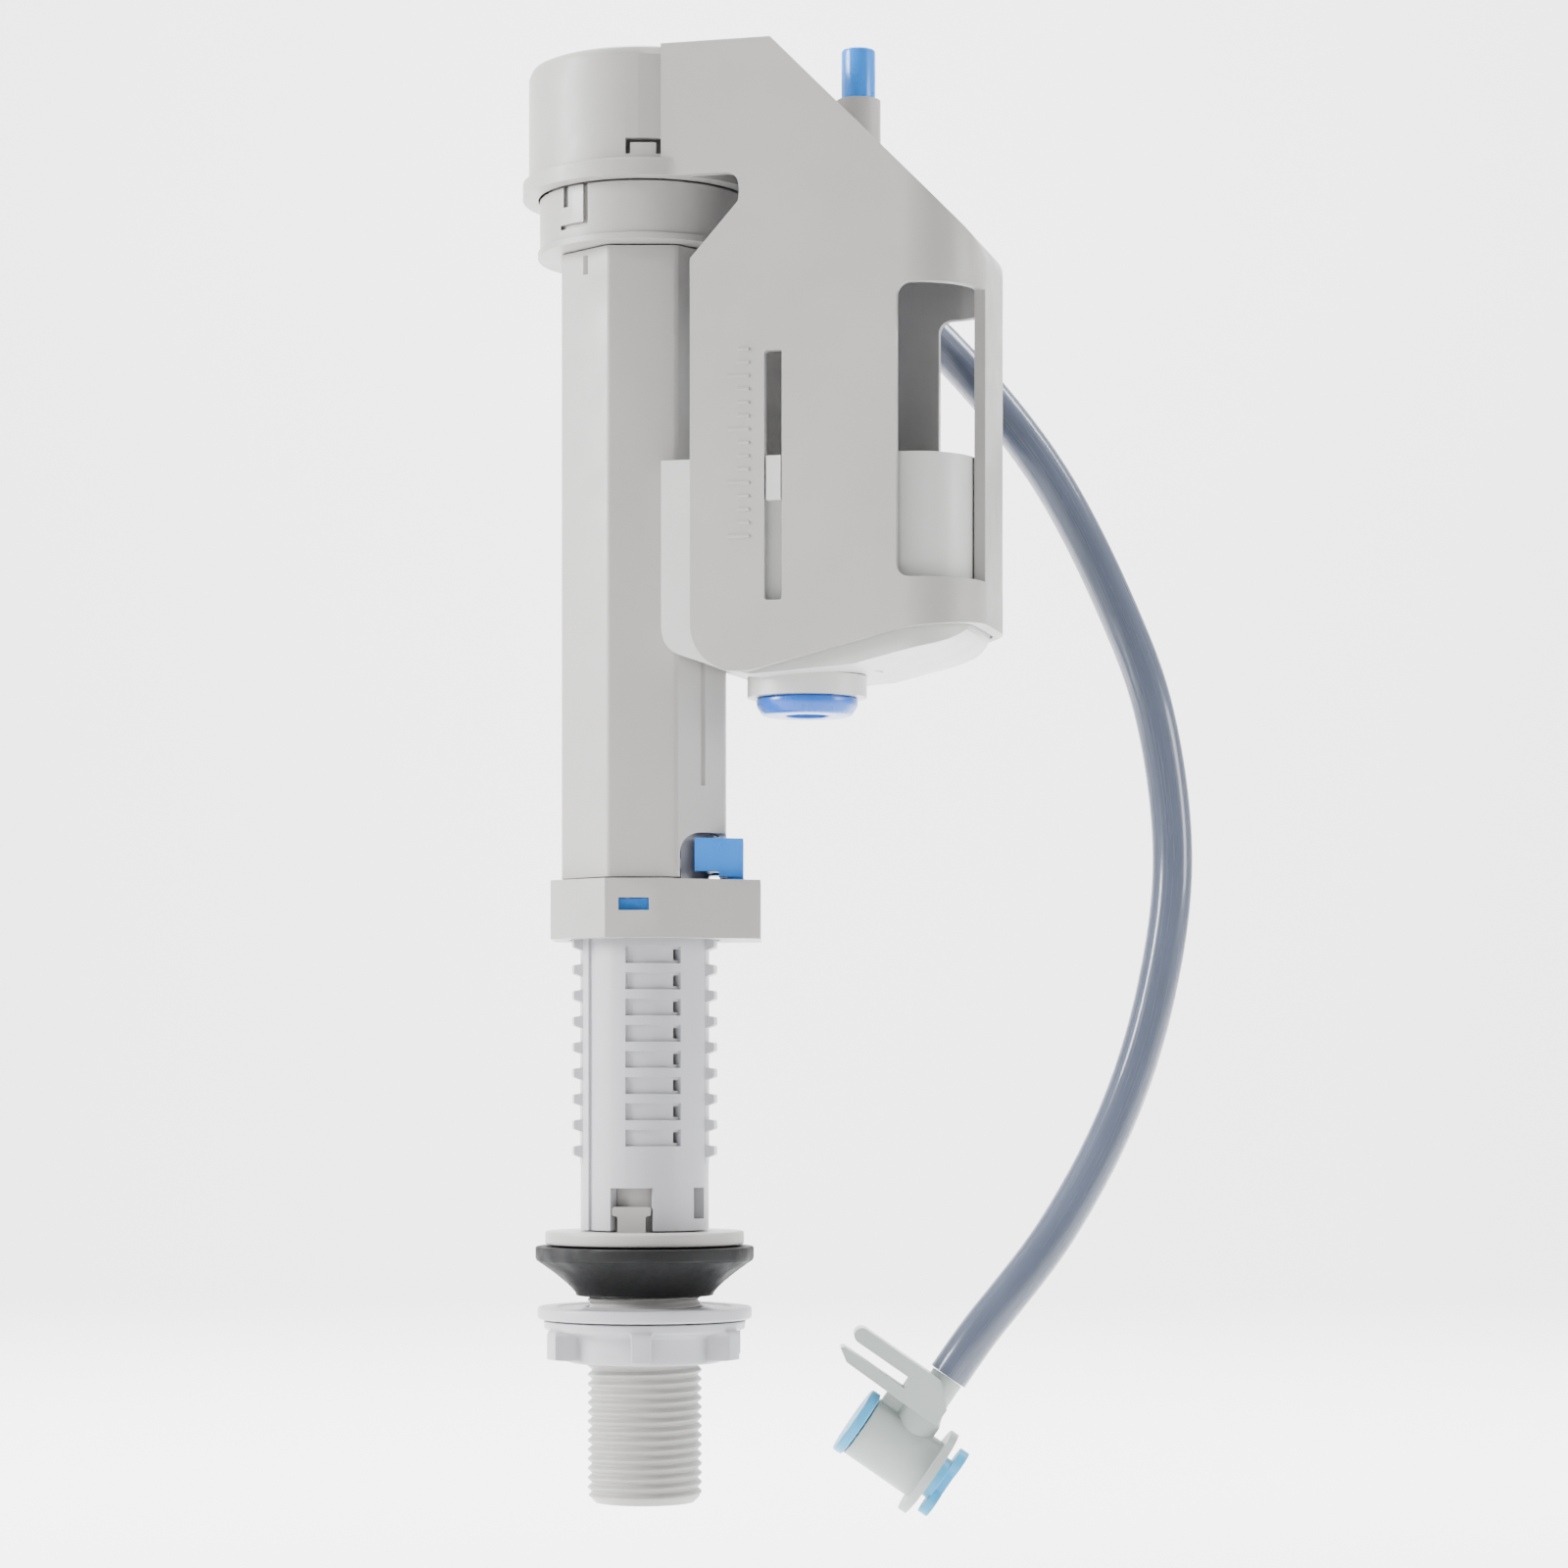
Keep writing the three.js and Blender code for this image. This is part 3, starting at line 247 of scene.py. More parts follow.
class Finish:
    """A node tree builder for one moulded or rubber finish."""

    def __init__(self, name):
        self.material = bpy.data.materials.new(name)
        self.material.use_nodes = True
        self.tree = self.material.node_tree
        self.shader = self.tree.nodes["Principled BSDF"]
        self.place = self.node("ShaderNodeTexCoord").outputs["Object"]

    def node(self, kind, **values):
        """A new node with the given settings."""
        made = self.tree.nodes.new(kind)
        for key, value in values.items():
            setattr(made, key, value)
        return made

    def link(self, source, target):
        """Join an output to an input."""
        self.tree.links.new(source, target)

    def noise(self, scale, detail, stretch=(1, 1, 1)):
        """Fractal noise on object coordinates; scale is in waves per metre."""
        mapping = self.node("ShaderNodeMapping")
        mapping.inputs["Scale"].default_value = stretch
        self.link(self.place, mapping.inputs["Vector"])
        made = self.node("ShaderNodeTexNoise")
        made.inputs["Scale"].default_value = scale
        made.inputs["Detail"].default_value = detail
        self.link(mapping.outputs["Vector"], made.inputs["Vector"])
        return made.outputs["Fac"]

    def span(self, value, low, high):
        """Map a 0.35 to 0.65 noise value onto low to high."""
        ramp = self.node("ShaderNodeMapRange")
        ramp.inputs["From Min"].default_value = 0.35
        ramp.inputs["From Max"].default_value = 0.65
        ramp.inputs["To Min"].default_value = low
        ramp.inputs["To Max"].default_value = high
        self.link(value, ramp.inputs["Value"])
        return ramp.outputs["Result"]

    def tint(self, value, dark, light):
        """A colour between dark and light."""
        mix = self.node("ShaderNodeMix", data_type="RGBA")
        mix.inputs["A"].default_value = (*dark, 1)
        mix.inputs["B"].default_value = (*light, 1)
        self.link(value, mix.inputs["Factor"])
        self.link(mix.outputs["Result"], self.shader.inputs["Base Color"])

    def bump(self, layers):
        """Bump nodes in a chain, from (value, height in metres) pairs."""
        last = None
        for value, height in layers:
            made = self.node("ShaderNodeBump")
            made.inputs["Distance"].default_value = height
            self.link(value, made.inputs["Height"])
            if last:
                self.link(last, made.inputs["Normal"])
            last = made.outputs["Normal"]
        self.link(last, self.shader.inputs["Normal"])


MOULD_GRAIN = 0.000012  # height in metres


def shade(colour, factor):
    """A colour made darker or lighter."""
    return tuple(min(1.0, c * factor) for c in colour)


def moulded_plastic(name, colour, roughness, subsurface=0.08, variation=0.04, coat=0.0):
    """Injection-moulded plastic: cloudy tone, a fine mould grain, faint flow waves, some dull patches."""
    f = Finish(name)
    clouds = f.noise(scale=38, detail=4)
    f.tint(f.span(clouds, 0, 1), shade(colour, 1 - variation), shade(colour, 1 + variation / 2))
    dull_patches = f.noise(scale=160, detail=5)
    f.link(f.span(dull_patches, roughness - 0.07, roughness + 0.09), f.shader.inputs["Roughness"])
    mould_grain = f.noise(scale=5200, detail=2)
    flow_waves = f.noise(scale=95, detail=2, stretch=(1, 1, 0.25))
    f.bump([(mould_grain, MOULD_GRAIN), (flow_waves, 0.00006)])
    f.shader.inputs["Subsurface Weight"].default_value = subsurface
    f.shader.inputs["Subsurface Radius"].default_value = (0.0012, 0.0011, 0.001)
    f.shader.inputs["Coat Weight"].default_value = coat
    f.shader.inputs["Coat Roughness"].default_value = 0.12
    f.shader.inputs["IOR"].default_value = 1.49
    return f.material


def black_rubber(name):
    """Moulded rubber: near black, with a bloom of paler dust and a coarse matt skin."""
    f = Finish(name)
    dust = f.noise(scale=70, detail=6)
    f.tint(f.span(dust, 0, 1), (0.0035, 0.0036, 0.004), (0.009, 0.0092, 0.010))
    f.link(f.span(f.noise(scale=240, detail=4), 0.48, 0.72), f.shader.inputs["Roughness"])
    f.bump([(f.noise(scale=2600, detail=3), 0.00003), (f.noise(scale=300, detail=2), 0.00004)])
    f.shader.inputs["Specular IOR Level"].default_value = 0.3
    return f.material


def clear_grey_vinyl(name, colour):
    """Extruded vinyl hose: glossy skin with lengthwise die lines read from the piece's own UV map."""
    f = Finish(name)
    uv = f.node("ShaderNodeUVMap", uv_map="along").outputs["UV"]
    lines = f.node("ShaderNodeMapping")
    lines.inputs["Scale"].default_value = (3, 60, 1)
    f.link(uv, lines.inputs["Vector"])
    streak = f.node("ShaderNodeTexNoise")
    streak.inputs["Scale"].default_value = 1.0
    streak.inputs["Detail"].default_value = 2.0
    f.link(lines.outputs["Vector"], streak.inputs["Vector"])
    f.tint(f.span(f.noise(scale=30, detail=3), 0, 1), shade(colour, 0.9), shade(colour, 1.08))
    f.link(f.span(streak.outputs["Fac"], 0.16, 0.3), f.shader.inputs["Roughness"])
    f.bump([(streak.outputs["Fac"], 0.00003)])
    f.shader.inputs["Coat Weight"].default_value = 0.5
    f.shader.inputs["Coat Roughness"].default_value = 0.08
    f.shader.inputs["Subsurface Weight"].default_value = 0.25
    f.shader.inputs["Subsurface Radius"].default_value = (0.002, 0.002, 0.0025)
    return f.material


BODY = (0.400, 0.390, 0.378)
RISER = (0.470, 0.470, 0.497)
FLOAT = (0.590, 0.602, 0.582)
CLIP = (0.420, 0.470, 0.452)
finishes = {
    "body_white": moulded_plastic("body_white", BODY, 0.42),
    "riser_white": moulded_plastic("riser_white", RISER, 0.38),
    "float_white": moulded_plastic("float_white", FLOAT, 0.36, subsurface=0.15),
    "clip_white": moulded_plastic("clip_white", CLIP, 0.38, subsurface=0.12),
    "blue": moulded_plastic("blue", (0.016, 0.250, 0.840), 0.3, variation=0.1, coat=0.2),
    "deep_blue": moulded_plastic("deep_blue", (0.010, 0.130, 0.600), 0.26, variation=0.1, coat=0.3),
    "pale_blue": moulded_plastic("pale_blue", (0.060, 0.400, 0.700), 0.34, variation=0.08),
    "rubber": black_rubber("rubber"),
    "hose": clear_grey_vinyl("hose", (0.098, 0.117, 0.168)),
}


def finished(piece, node):
    """Give a piece the finish, slot and body of the node it stands for."""
    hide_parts(node)
    piece.data.materials.append(finishes[slot_of(node)])
    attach(piece, body_of(node))
    return piece


# ---- refill hose ------------------------------------------------------------------------------


HOSE_RADIUS = 3.95


def hose_route():
    """The hose's guide points in metres, in the part's frame: out of the elbow, down in one bow,
    and into the clip's neck along its axis."""
    elbow = [[11.3, 29, 206.5], [25, 29, 206.1]]
    free = [
        [47, 18.5, 197.5], [62.3, 14, 182.5], [79.1, 12, 160.7], [92.5, 11, 134.3], [99.7, 10, 113.9],
        [103.3, 10, 84.9], [99.9, 9, 58.7], [92.5, 7, 35.4], [79.9, 3, 12.2],
    ]
    along = np.array([math.sin(CLIP_TILT), 0, math.cos(CLIP_TILT)])
    neck = np.array([48.9, 0, -30]) + along * 17.4
    points = np.concatenate([elbow, turned_about_z(free + [neck + along * 9, neck])])
    return points * MM


def smooth_path(points, steps=14):
    """Centripetal Catmull-Rom through the points: each span is a cubic whose end slopes come from
    neighbours weighted by the square root of their distance."""
    p = np.concatenate([[2 * points[0] - points[1]], points, [2 * points[-1] - points[-2]]])
    gap = np.linalg.norm(np.diff(p, axis=0), axis=1)[:, None] ** 0.5
    d0, d1, d2 = gap[:-2], gap[1:-1], gap[2:]
    chord = np.diff(p, axis=0)
    m1 = (chord[:-2] / d0 - (p[2:-1] - p[:-3]) / (d0 + d1) + chord[1:-1] / d1) * d1
    m2 = (chord[1:-1] / d1 - (p[3:] - p[1:-2]) / (d1 + d2) + chord[2:] / d2) * d1
    a, b = p[1:-2][:, None], p[2:-1][:, None]
    m1, m2 = m1[:, None], m2[:, None]
    t = np.linspace(0, 1, steps, endpoint=False)[None, :, None]
    spans = (2 * t**3 - 3 * t**2 + 1) * a + (t**3 - 2 * t**2 + t) * m1
    spans = spans + (-2 * t**3 + 3 * t**2) * b + (t**3 - t**2) * m2
    return np.concatenate([spans.reshape(-1, 3), points[-1:]])


def tube(name, path, radius, sides=24):
    """A closed tube: rings of one radius square to the path, with flat ends and a UV map that
    runs along it and round it."""
    tangent = np.gradient(path, axis=0)
    tangent /= np.linalg.norm(tangent, axis=1)[:, None]
    across = np.cross(tangent, turned_about_z([0, 1, 0]))
    across /= np.linalg.norm(across, axis=1)[:, None]
    up = np.cross(across, tangent)
    a = full_turn(sides)[..., None]
    ring = np.cos(a) * across[:, None] + np.sin(a) * up[:, None]
    points = path[:, None] + ring * radius
    faces = grid_faces(len(path), sides, False, True) + end_faces(len(path), sides)
    piece = mesh_object(name, points, faces)
    distance = np.concatenate([[0], np.cumsum(np.linalg.norm(np.diff(path, axis=0), axis=1))])
    along = piece.data.uv_layers.new(name="along")
    loop_vertex = np.zeros(len(piece.data.loops), int)
    piece.data.loops.foreach_get("vertex_index", loop_vertex)
    uv = np.stack([distance[loop_vertex // sides] * 10, (loop_vertex % sides) / sides], axis=-1)
    along.data.foreach_set("uv", uv.ravel())
    return point_outwards(piece)


def make_hose():
    """The refill hose, with its centreline and the length along it in metres."""
    route = smooth_path(hose_route())
    hose = tube("refill_hose_tube", route, HOSE_RADIUS * MM)
    finished(hose, "refill_hose")
    length = float(np.linalg.norm(np.diff(route, axis=0), axis=1).sum())
    return hose, route, length


hose, route, hose_length = make_hose()

# ---- shank, washer and nut --------------------------------------------------------------------


def smooth_step(x):
    """0 below 0, 1 above 1, and 3x^2 - 2x^3 between."""
    x = np.clip(x, 0, 1)
    return x * x * (3 - 2 * x)


CREST_R = 11.05
THREAD_DEPTH = 0.75
THREAD_END = 7.5  # the thread has faded out at this height
SHANK_BOTTOM = -40
FLANGE_BOTTOM = 9.92
FLANGE_TOP = 12.48
STEM_TOP = 149.9


def make_shank():
    """The shank: radius = crest - depth x tooth(z / pitch - a / 2 pi), where tooth is a 60 degree
    vee with flats, faded out at both ends; the flange, spigot and stem follow above it."""
    a = full_turn(96)
    z = np.linspace(SHANK_BOTTOM + SKIN, FLANGE_BOTTOM - SKIN, 520)[:, None]
    phase = (z / THREAD_PITCH - a / (2 * math.pi)) % 1.0
    vee = np.clip((np.abs(phase - 0.5) * 2 - 0.12) / 0.74, 0, 1)
    above = z - SHANK_BOTTOM
    fade = smooth_step(above / 2.2) * smooth_step((THREAD_END - z) / 1.2)
    chamfer = 1.5 * np.clip(1 - above / 1.5, 0, 1)
    radius = np.minimum(CREST_R - THREAD_DEPTH * (1 - vee) * fade, CREST_R - chamfer)
    rest = arc_outline([
        (CREST_R, FLANGE_BOTTOM, 0), (19.28, FLANGE_BOTTOM, 0.5), (19.28, FLANGE_TOP, 0.5),
        (9.88, 12.5, 0.2), (9.88, 24, 0.4), (8.58, 26, 0.4), (8.58, STEM_TOP, 0.4),
        (7.12, STEM_TOP, 0.2), (7.12, SHANK_BOTTOM + SKIN, 0.4)])
    points = np.concatenate([around(radius, a, z), around(rest[:, :1], a, rest[:, 1:])]) * MM
    shank = mesh_object("shank_thread", points, grid_faces(len(points), a.size, True, True))
    finished(point_outwards(shank), "shank_base")


def make_hooks():
    """The two hooks that rise from the flange through the sleeve's foot: the outline of a stem under a
    wider bar, carried from the spigot (u = 0) to the sleeve's skin (u = 1) along the radius."""
    bar = arc_outline([
        (-2.7, 11.8, 0), (2.7, 11.8, 0), (2.7, 15.6, 0.3), (3.7, 15.8, 0.3), (3.7, 17.4, 0.5),
        (-3.7, 17.4, 0.5), (-3.7, 15.8, 0.3), (-2.7, 15.6, 0.3)], steps=3)
    u = np.array([0, 1])[:, None]
    faces = grid_faces(2, len(bar), False, True) + end_faces(2, len(bar))
    for side, offset, turn in (("front", -2.1, STEM_TURN), ("back", 2.1, STEM_TURN + math.pi)):
        outline = np.broadcast_arrays(bar[:, 0] + offset, -(9.6 + 2.75 * u), bar[:, 1])
        points = turned_about_z(np.stack(outline, axis=-1) * MM, turn)
        hook = point_outwards(mesh_object(f"flange_hook_{side}", points, faces))
        finished(hook, "shank_base")


def make_washer():
    """The cone washer: a foot, a concave flank r = foot + rise x t^1.25, and a rim."""
    t = np.linspace(0, 1, 28)
    flank = np.stack([13.3 + 7.7 * t**1.25, 0.3 + 6.6 * t], axis=-1)
    rim = arc_outline([
        (21.15, 7.1, 0.4), (21.2, 9.55, 0.5), (11.5, 9.58, 0.2), (11.45, SKIN, 0.3), (13.2, SKIN, 0.2)])
    finished(revolved("cone_washer", np.concatenate([flank, rim])), "tank_washer")


def make_friction_washer():
    """The washer that lies on the nut: a flat ring with rounded edges and a shallow groove on top."""
    low, high = heights_of("friction_washer")
    groove = high - 0.25
    ring = arc_outline([
        (11.5, low, 0.3), (20.75, low, 0.6), (20.75, high, 0.6), (17, high, 0.2), (16.6, groove, 0.2),
        (13.4, groove, 0.2), (13, high, 0.2), (11.5, high, 0.3)])
    finished(revolved("friction_plate", ring), "friction_washer")


def make_nut():
    """The hand nut: a flanged skirt whose lugs swell out by a smooth bump of the angle every sixth
    of a turn, between a top and a bottom height."""
    low, high = heights_of("lock_nut")
    top = high - SKIN
    skirt = arc_outline([
        (11.5, low, 0.4), (15.0, low, 0.8), (15.2, low + 1.2, 0.5), (15.3, low + 3.2, 0),
        (15.5, low + 5.2, 0.4), (15.8, high - 2.5, 0.4), (19.4, high - 1.7, 0.5), (19.6, top, 0.4),
        (11.5, top, 0.4)], steps=6)
    sixth = math.pi / 3
    lug_r = 20.35

    def lugs(a, r, z):
        """How far the skirt swells out: full on a lug and nothing between two."""
        local = (a - STEM_TURN + math.pi / 2 + sixth / 2) % sixth - sixth / 2
        width = smooth_step((2.1 - np.abs(local) * 18) / 0.35)
        height = smooth_step((z - low - 0.5) / 0.5) * smooth_step((high - 1.2 - z) / 0.8)
        return width * height * np.maximum(lug_r - r, 0) * (r > 14)

    finished(revolved("hand_nut", skirt, 360, lugs), "lock_nut")


SCREW_PITCH = 1.5
ROD_R = 1.95
KNOB_R = 3.25
KNOB_HEIGHT = 9.6


def make_level_screw():
    """The level screw: a finely fluted knob with a small pit in its top, on a rod whose radius is crest -
    depth x (1 - tooth), tooth = |2 fraction(z / pitch - a / 2 pi) - 1|, which is a fine right-hand helix."""
    low, high = heights_of("level_screw")
    base, top, dish = high - KNOB_HEIGHT, high - SKIN, high - 0.9
    a = full_turn(48)
    z = np.linspace(low + SKIN, base - 1.5, 560)[:, None]
    tooth = np.abs(((z / SCREW_PITCH - a / (2 * math.pi)) % 1.0) * 2 - 1)
    fade = smooth_step((z - low) / 1.5) * smooth_step((base - 4 - z) / 2)
    radius = np.minimum(ROD_R - 0.4 * (1 - tooth) * fade, 1.3 + 0.8 * (z - low))
    knob = arc_outline([
        (ROD_R, base - 1, 0), (ROD_R, base, 0.1), (KNOB_R, base, 0.3), (3.27, top, 0.7),
        (1.2, top, 0.3), (1.0, dish, 0.2), (0.02, dish, 0)], steps=5)[1:]
    r, height = knob[:, :1], knob[:, 1:]
    flute = 1 - 0.035 * (np.cos(a * 18) > 0.2) * (r > 3.1) * (height < high - 1)
    points = np.concatenate([around(radius, a, z), around(r * flute, a, height)]) + [SCREW_AT, 0, 0]
    faces = grid_faces(len(points), a.size, False, True) + end_faces(len(points), a.size)
    finished(point_outwards(mesh_object("level_screw_thread", points * MM, faces)), "level_screw")


def make_check_ring():
    """The check valve's ring: a dished bowl below the float, then the spigot inside its boss."""
    low, high = heights_of("check_valve_ring")
    face, floor = low + 3.2, low + 1.8
    bowl = arc_outline([
        (4.22, low, 0.3), (8.5, low, 0.8), (9.75, face - 1.2, 0.5), (9.75, face - SKIN, 0.2),
        (9.18, face - SKIN, 0), (9.18, high - SKIN, 0.2), (8.02, high - SKIN, 0.2), (8.02, floor, 0.2),
        (4.22, floor, 0.2)])
    centre = sum(corner[0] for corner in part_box("check_valve_ring")) / 2 / MM
    finished(revolved("check_ring", bowl, centre_x=centre), "check_valve_ring")


def make_check_disc():
    """The check valve's flap: a thin disc, dished by d (1 - (r / R)^2) on top, that stops just
    short of its seat."""
    low, high = heights_of("check_disc")
    left, right = (corner[0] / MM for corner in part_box("check_disc"))
    edge, high = (right - left) / 2, high - 0.12
    r = np.linspace(0.05, edge - 0.15, 12)
    top = np.stack([r, high - 0.2 * (1 - (r / edge) ** 2)], axis=-1)
    side = np.array([[edge, high - 0.15], [edge, low + 0.15], [edge - 0.15, low], [0.05, low]])
    flap = revolved("check_flap", np.concatenate([top, side]), 96, centre_x=(left + right) / 2)
    finished(flap, "check_disc")


# ---- riser sleeve -----------------------------------------------------------------------------

SLEEVE_R = 12.43
SLEEVE_BORE = 10.22
POCKET_DEPTH = 0.8
POCKET = (1, 4.2)  # bottom and top of a pocket above the tooth below
SLOT = (1.6, 3.7)  # and of the slot in its right end
GROOVE_DEPTH = 0.6
WINDOW_BOTTOM = 15
WINDOW_TOP = 21
TEETH = 25
FIRST_TOOTH = 28
TOOTH_PITCH = 5
STEP = 0.02  # width of the near-vertical wall of a pocket or groove


def with_steps(edges, fill, low, high):
    """Sorted grid lines from low to high: one just before and one on each edge, and the fill lines."""
    lines = np.concatenate([fill, edges, edges - STEP])
    return np.unique(np.round(lines[(lines >= low) & (lines <= high)], 4))


def shell_with_windows(name, outer, inner, closed):
    """A thick shell between two (heights, angles) grids: a skin over each closed cell on both grids,
    and a wall from one grid to the other wherever a closed cell meets an open one or an end."""
    rows, columns = outer.shape[:2]
    index = np.arange(rows * columns).reshape(rows, columns)
    other = index + rows * columns
    here, right = index[:-1], np.roll(index[:-1], -1, axis=1)
    above, corner = index[1:], np.roll(index[1:], -1, axis=1)
    skin = np.stack([here, right, corner, above], axis=-1)[closed]
    back = (skin + rows * columns)[:, ::-1]
    side = closed != np.roll(closed, 1, axis=1)
    upright = np.stack([index[:-1], index[1:], other[1:], other[:-1]], axis=-1)[side]
    padded = np.pad(closed, ((1, 1), (0, 0)))
    level = padded[1:] != padded[:-1]
    beside, other_beside = np.roll(index, -1, axis=1), np.roll(other, -1, axis=1)
    flat = np.stack([index, beside, other_beside, other], axis=-1)[level]
    faces = np.concatenate([skin, back, upright, flat]).tolist()
    points = np.concatenate([outer.reshape(-1, 3), inner.reshape(-1, 3)])
    return point_outwards(mesh_object(name, turned_about_z(points * MM), faces))


def between(value, low, high):
    """Where a grid line lies from low up to high, with room for rounding."""
    return (value > low - 1e-3) & (value < high - STEP / 2)


def on_ladder(z):
    """The height above the tooth below, and whether the ladder has a pocket at that height."""
    return (z - FIRST_TOOTH) % TOOTH_PITCH, (z > FIRST_TOOTH) & (z < FIRST_TOOTH + TOOTH_PITCH * TEETH)


def make_sleeve():
    """The toothed sleeve's tube: x = r sin a, y = -r cos a, with r = R less the depth of each pocket
    of the ladder and of the side groove, and openings for the hooks, the vents and the pockets' slots."""

    def arc_at(x):
        """The arc length from the sleeve's front to where its skin reaches x."""
        return SLEEVE_R * math.asin(x / SLEEVE_R)

    def wall(radius, s, z):
        """Points at an arc length s from the front."""
        return around(radius, s / SLEEVE_R - math.pi / 2, z)

    half_turn = SLEEVE_R * math.pi
    low, high = heights_of("riser_sleeve")
    pockets = (arc_at(-3.3), arc_at(7.3))
    slots = (arc_at(6.2), arc_at(7.3))
    groove = (arc_at(-10.6), arc_at(-9.2))
    hooks = [(arc_at(-6.2), arc_at(2.0)), (half_turn - arc_at(2.0), half_turn - arc_at(-6.2))]
    vents = [(middle - 1.9, middle + 1.9) for middle in (half_turn / 3, -2 * half_turn / 3)]
    edges = np.array([*pockets, *slots, *groove, *np.ravel(hooks), *np.ravel(vents)])
    arcs = with_steps(
        (edges + half_turn) % (2 * half_turn) - half_turn,
        np.linspace(-half_turn, half_turn, 73), -half_turn, half_turn - 1e-3)
    teeth = FIRST_TOOTH + TOOTH_PITCH * np.arange(TEETH)
    heights = with_steps(
        np.concatenate([*(teeth + edge for edge in POCKET + SLOT), [WINDOW_BOTTOM, WINDOW_TOP]]),
        np.linspace(low + SKIN, high - SKIN, 12), low, high)
    s, z = np.meshgrid(arcs, heights)
    phase, laddered = on_ladder(z)
    pocket = between(s, *pockets) & between(phase, *POCKET) & laddered
    radius = SLEEVE_R - POCKET_DEPTH * pocket - GROOVE_DEPTH * between(s, *groove)
    outer, inner = wall(radius, s, z), wall(SLEEVE_BORE, s, z)
    s, z = s[:-1], (z[1:] + z[:-1]) / 2
    s = s + (np.roll(s, -1, axis=1) - s) % (2 * half_turn) / 2
    phase, laddered = on_ladder(z)

    def across(pair):
        """Where a cell's middle lies between two arc lengths, past the seam too."""
        return (s - pair[0]) % (2 * half_turn) < pair[1] - pair[0]

    slot = across(slots) & (phase > SLOT[0]) & (phase < SLOT[1]) & laddered
    foot = (across(hooks[0]) | across(hooks[1])) & (z < WINDOW_TOP)
    vent = (across(vents[0]) | across(vents[1])) & (z > WINDOW_BOTTOM) & (z < WINDOW_TOP)
    tube_wall = shell_with_windows("sleeve_tube", outer, inner, ~(slot | foot | vent))
    finished(tube_wall, "riser_sleeve")


def make_racks():
    """Both racks: a toothed outline rho(z) carried across the rack's width on the arc of its own
    radius, point = (rho cos phi, rho sin phi, z) with sin phi = v / rho for -4 <= v <= 4."""
    tooth = np.array([
        [12.5, -1.35], [13.9, -0.85], [14.08, -0.65], [14.08, 0.7], [13.9, 0.9], [12.5, 1.1]])
    heights = FIRST_TOOTH + TOOTH_PITCH * np.arange(TEETH)
    teeth = (tooth[None] + np.stack([0 * heights, heights], axis=-1)[:, None]).reshape(-1, 2)
    low, high = FIRST_TOOTH - 2.5, FIRST_TOOTH + TOOTH_PITCH * (TEETH - 1) + 2.5
    outline = np.concatenate([[[11.9, low], [12.5, low]], teeth, [[12.5, high], [11.9, high]]])
    v = np.linspace(-4, 4, 9)[None, :]
    rho, z = outline[:, :1], outline[:, 1:]
    points = around(rho, np.arcsin(v / rho), z) * MM
    faces = grid_faces(len(outline), v.size, True, False) + side_faces(len(outline), v.size)
    for side, turn in (("right", 0), ("left", math.pi)):
        bar = mesh_object(f"sleeve_rack_{side}", turned_about_z(points, STEM_TURN + turn), faces)
        finished(point_outwards(bar), "riser_sleeve")


make_sleeve()
make_racks()
make_level_screw()
make_check_ring()
make_check_disc()
make_shank()
make_hooks()
make_washer()
make_friction_washer()
make_nut()

# ---- everything that keeps its CAD form --------------------------------------------------------

EDGES = {  # each moulded node's edge round
    "outer_tube": 0.35, "lock_collar": 0.4, "lock_latch": 0.5, "head_body": 0.3,
    "cap_housing": 0.45, "lever_arm": 0.3, "float_cup": 0.4,
    "clip_body": 0.35, "clip_plug": 0.35, "flow_adjuster": 0.35, "lift_link": 0.2,
    "down_pipe": 0.2, "pipe_seal": 0.3, "diaphragm": 0.2, "valve_bonnet": 0.2, "lever_pin": 0.2,
    "pilot_seal": 0.2,
}
made = {node: finished(moulded(node, edge), node) for node, edge in EDGES.items()}


MARKS_RIGHT = 26.2  # where every mark ends along X
MARK_HEIGHT = 0.4
MARK_HALF = 0.38


def make_scale():
    """Raised level marks beside the slot, each a low rib with a half-round top:
    height = h sqrt(1 - v^2) across it, longer at every fourth mark."""
    rows, columns = 9, 3
    points, faces = [], []
    v = np.linspace(-1, 1, rows)[:, None] + np.zeros((1, columns))
    for k, z in enumerate(np.arange(143.5, 178.6, 2.5)):
        left = MARKS_RIGHT - (4.2 if k % 4 == 0 else 2.2)
        x = np.linspace(left, MARKS_RIGHT, columns)[None, :] + 0 * v
        crown = 0.12 - MARK_HEIGHT * np.sqrt(np.clip(1 - v**2, 0, 1))
        front = np.stack([x, HOUSING_SIDE + crown, z + MARK_HALF * v], axis=-1)
        back = np.stack([x, HOUSING_SIDE + 0.3 + 0 * v, z + MARK_HALF * v], axis=-1)[::-1]
        base = len(points) * 2 * rows * columns
        mark = grid_faces(2 * rows, columns, True, False) + side_faces(2 * rows, columns)
        faces += [[base + i for i in face] for face in mark]
        points.append(np.concatenate([front, back]))
    marks = point_outwards(mesh_object("scale_marks", np.concatenate(points) * MM, faces))
    marks.data.materials.append(finishes["body_white"])
    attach(marks, "cap")


make_scale()

# ---- floor and light ---------------------------------------------------------------------------


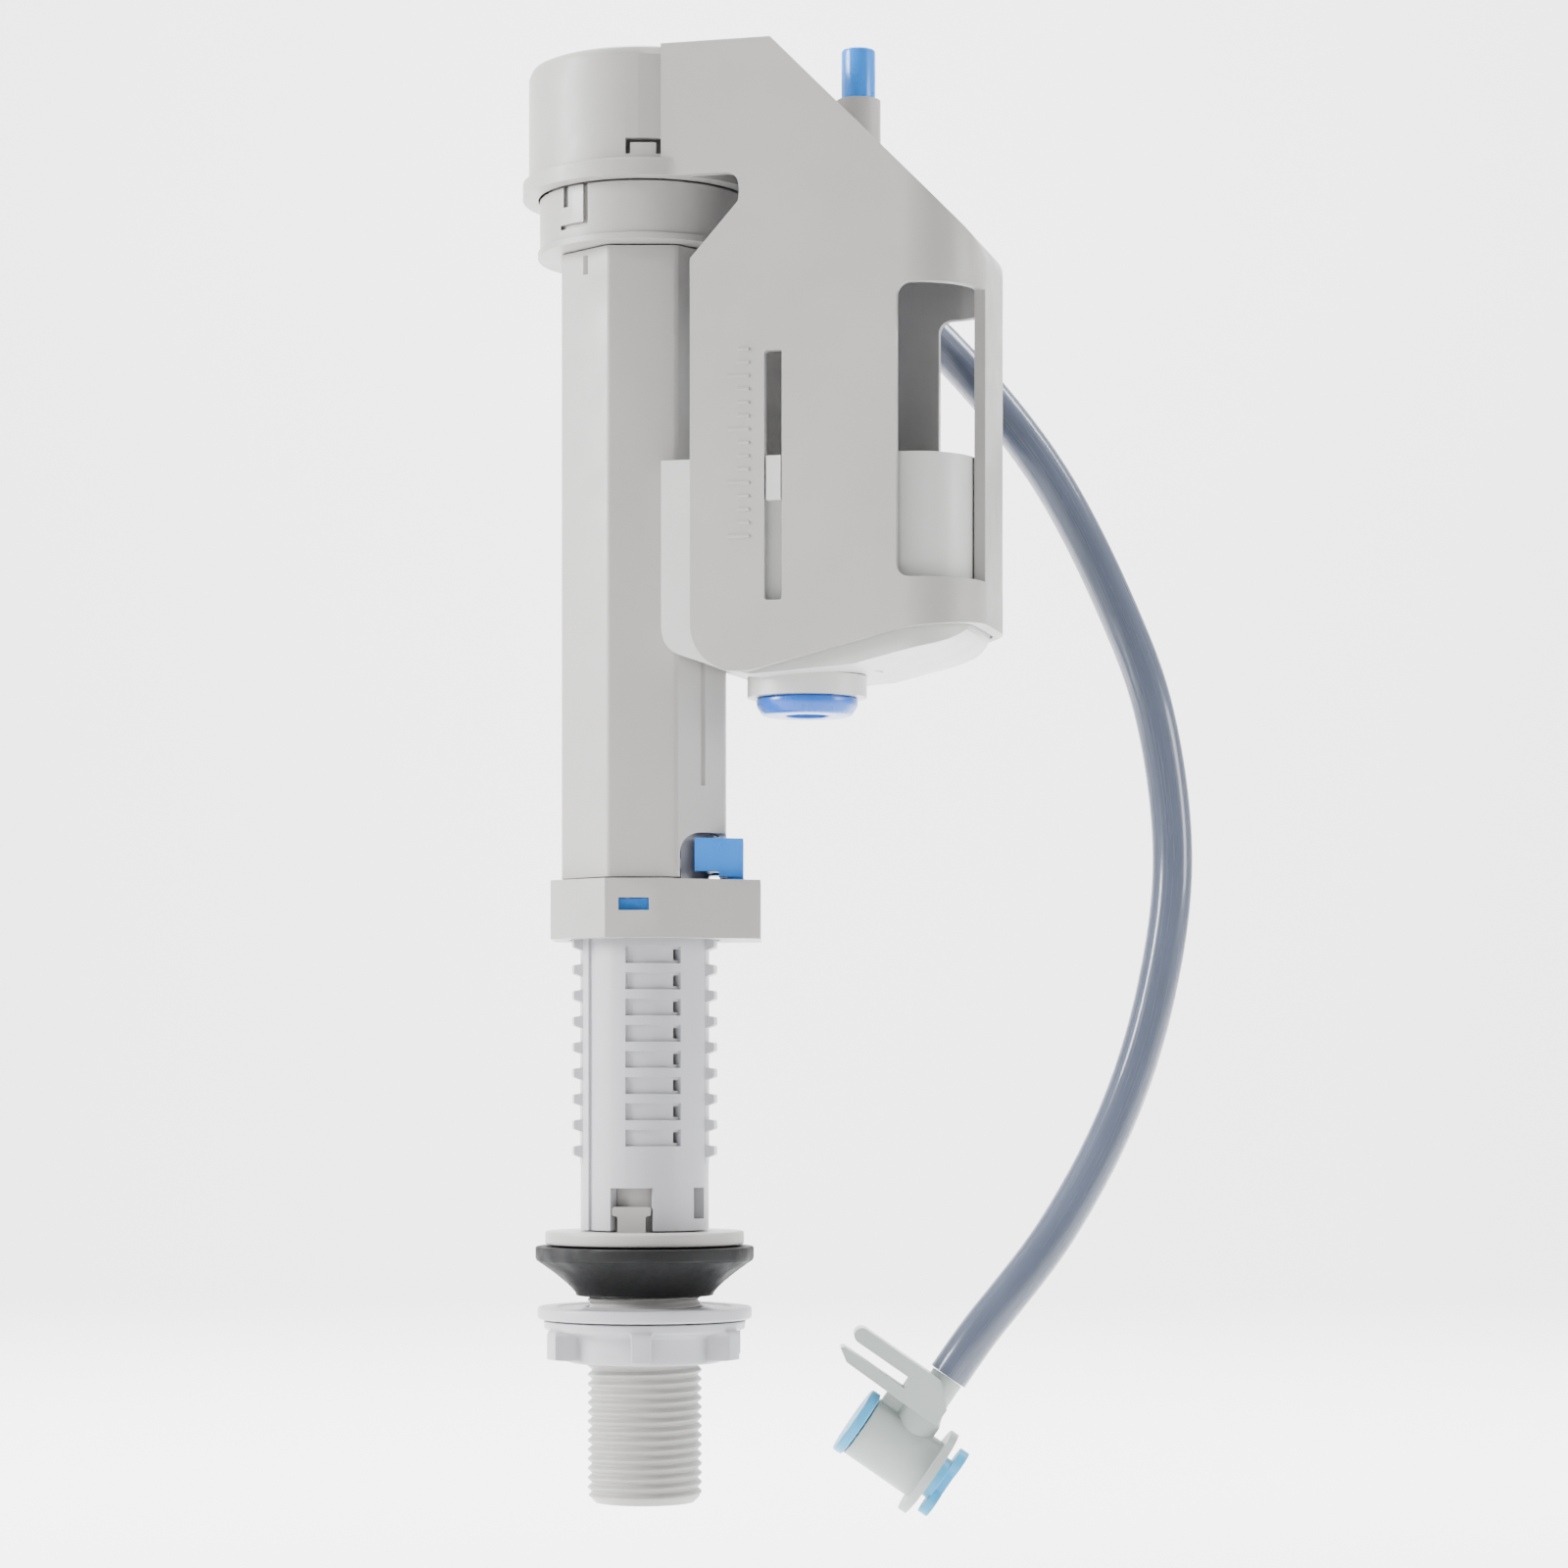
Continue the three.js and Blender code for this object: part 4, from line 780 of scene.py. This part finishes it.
def make_floor():
    """A pale sweep that lies level, clear of the clip at the head's lowest setting, and curves up
    far behind."""
    t = np.linspace(0, 1, 40)
    bend = np.stack([1.6 + 0.8 * np.sin(t * math.pi / 2), 0.8 * (1 - np.cos(t * math.pi / 2))], axis=-1)
    side = np.concatenate([[[-3.0, 0.0]], bend, [[2.4, 4.0]]])
    x = np.array([-5.0, 5.0])
    low = cad_box[0][2] - FLOOR_DROP
    points = np.stack([
        np.broadcast_to(x[None, :], (len(side), 2)),
        np.broadcast_to(side[:, :1], (len(side), 2)),
        np.broadcast_to(side[:, 1:] + low, (len(side), 2))], axis=-1)
    floor = mesh_object("floor_sweep", turned_about_z(points), grid_faces(len(side), 2, False, False))
    pale = bpy.data.materials.new("pale_paper")
    pale.use_nodes = True
    shader = pale.node_tree.nodes["Principled BSDF"]
    shader.inputs["Base Color"].default_value = (0.95, 0.95, 0.95, 1)
    shader.inputs["Roughness"].default_value = 0.9
    floor.data.materials.append(pale)


def soft_light(name, place, target, size, power):
    """A square area light that faces its target."""
    lamp = bpy.data.lights.new(name, "AREA")
    lamp.size = size
    lamp.energy = power
    holder = placed(name, lamp)
    place, target = (turned_about_z(p) for p in (place, target))
    holder.location = place
    holder.rotation_euler = Vector(target - place).to_track_quat("-Z", "Y").to_euler()


def make_light():
    """A bright surround, a strong key from the left, a weak fill from the right, a top light and a
    light on the sweep behind."""
    world = bpy.data.worlds.new("studio")
    bpy.context.scene.world = world
    world.use_nodes = True
    sky = world.node_tree.nodes["Background"]
    sky.inputs["Color"].default_value = (1, 1, 1, 1)
    sky.inputs["Strength"].default_value = 0.52
    centre = [0.03, 0, 0.1]
    soft_light("key", [-1.25, -0.3, 0.5], centre, 0.5, 36)
    soft_light("fill", [1.2, -0.3, 0.3], centre, 0.4, 6)
    soft_light("top", [0.0, -0.1, 1.3], centre, 0.7, 9)
    soft_light("backdrop", [0.0, 0.45, 1.3], [0.0, 1.9, 0.3], 1.6, 150)


make_floor()
make_light()
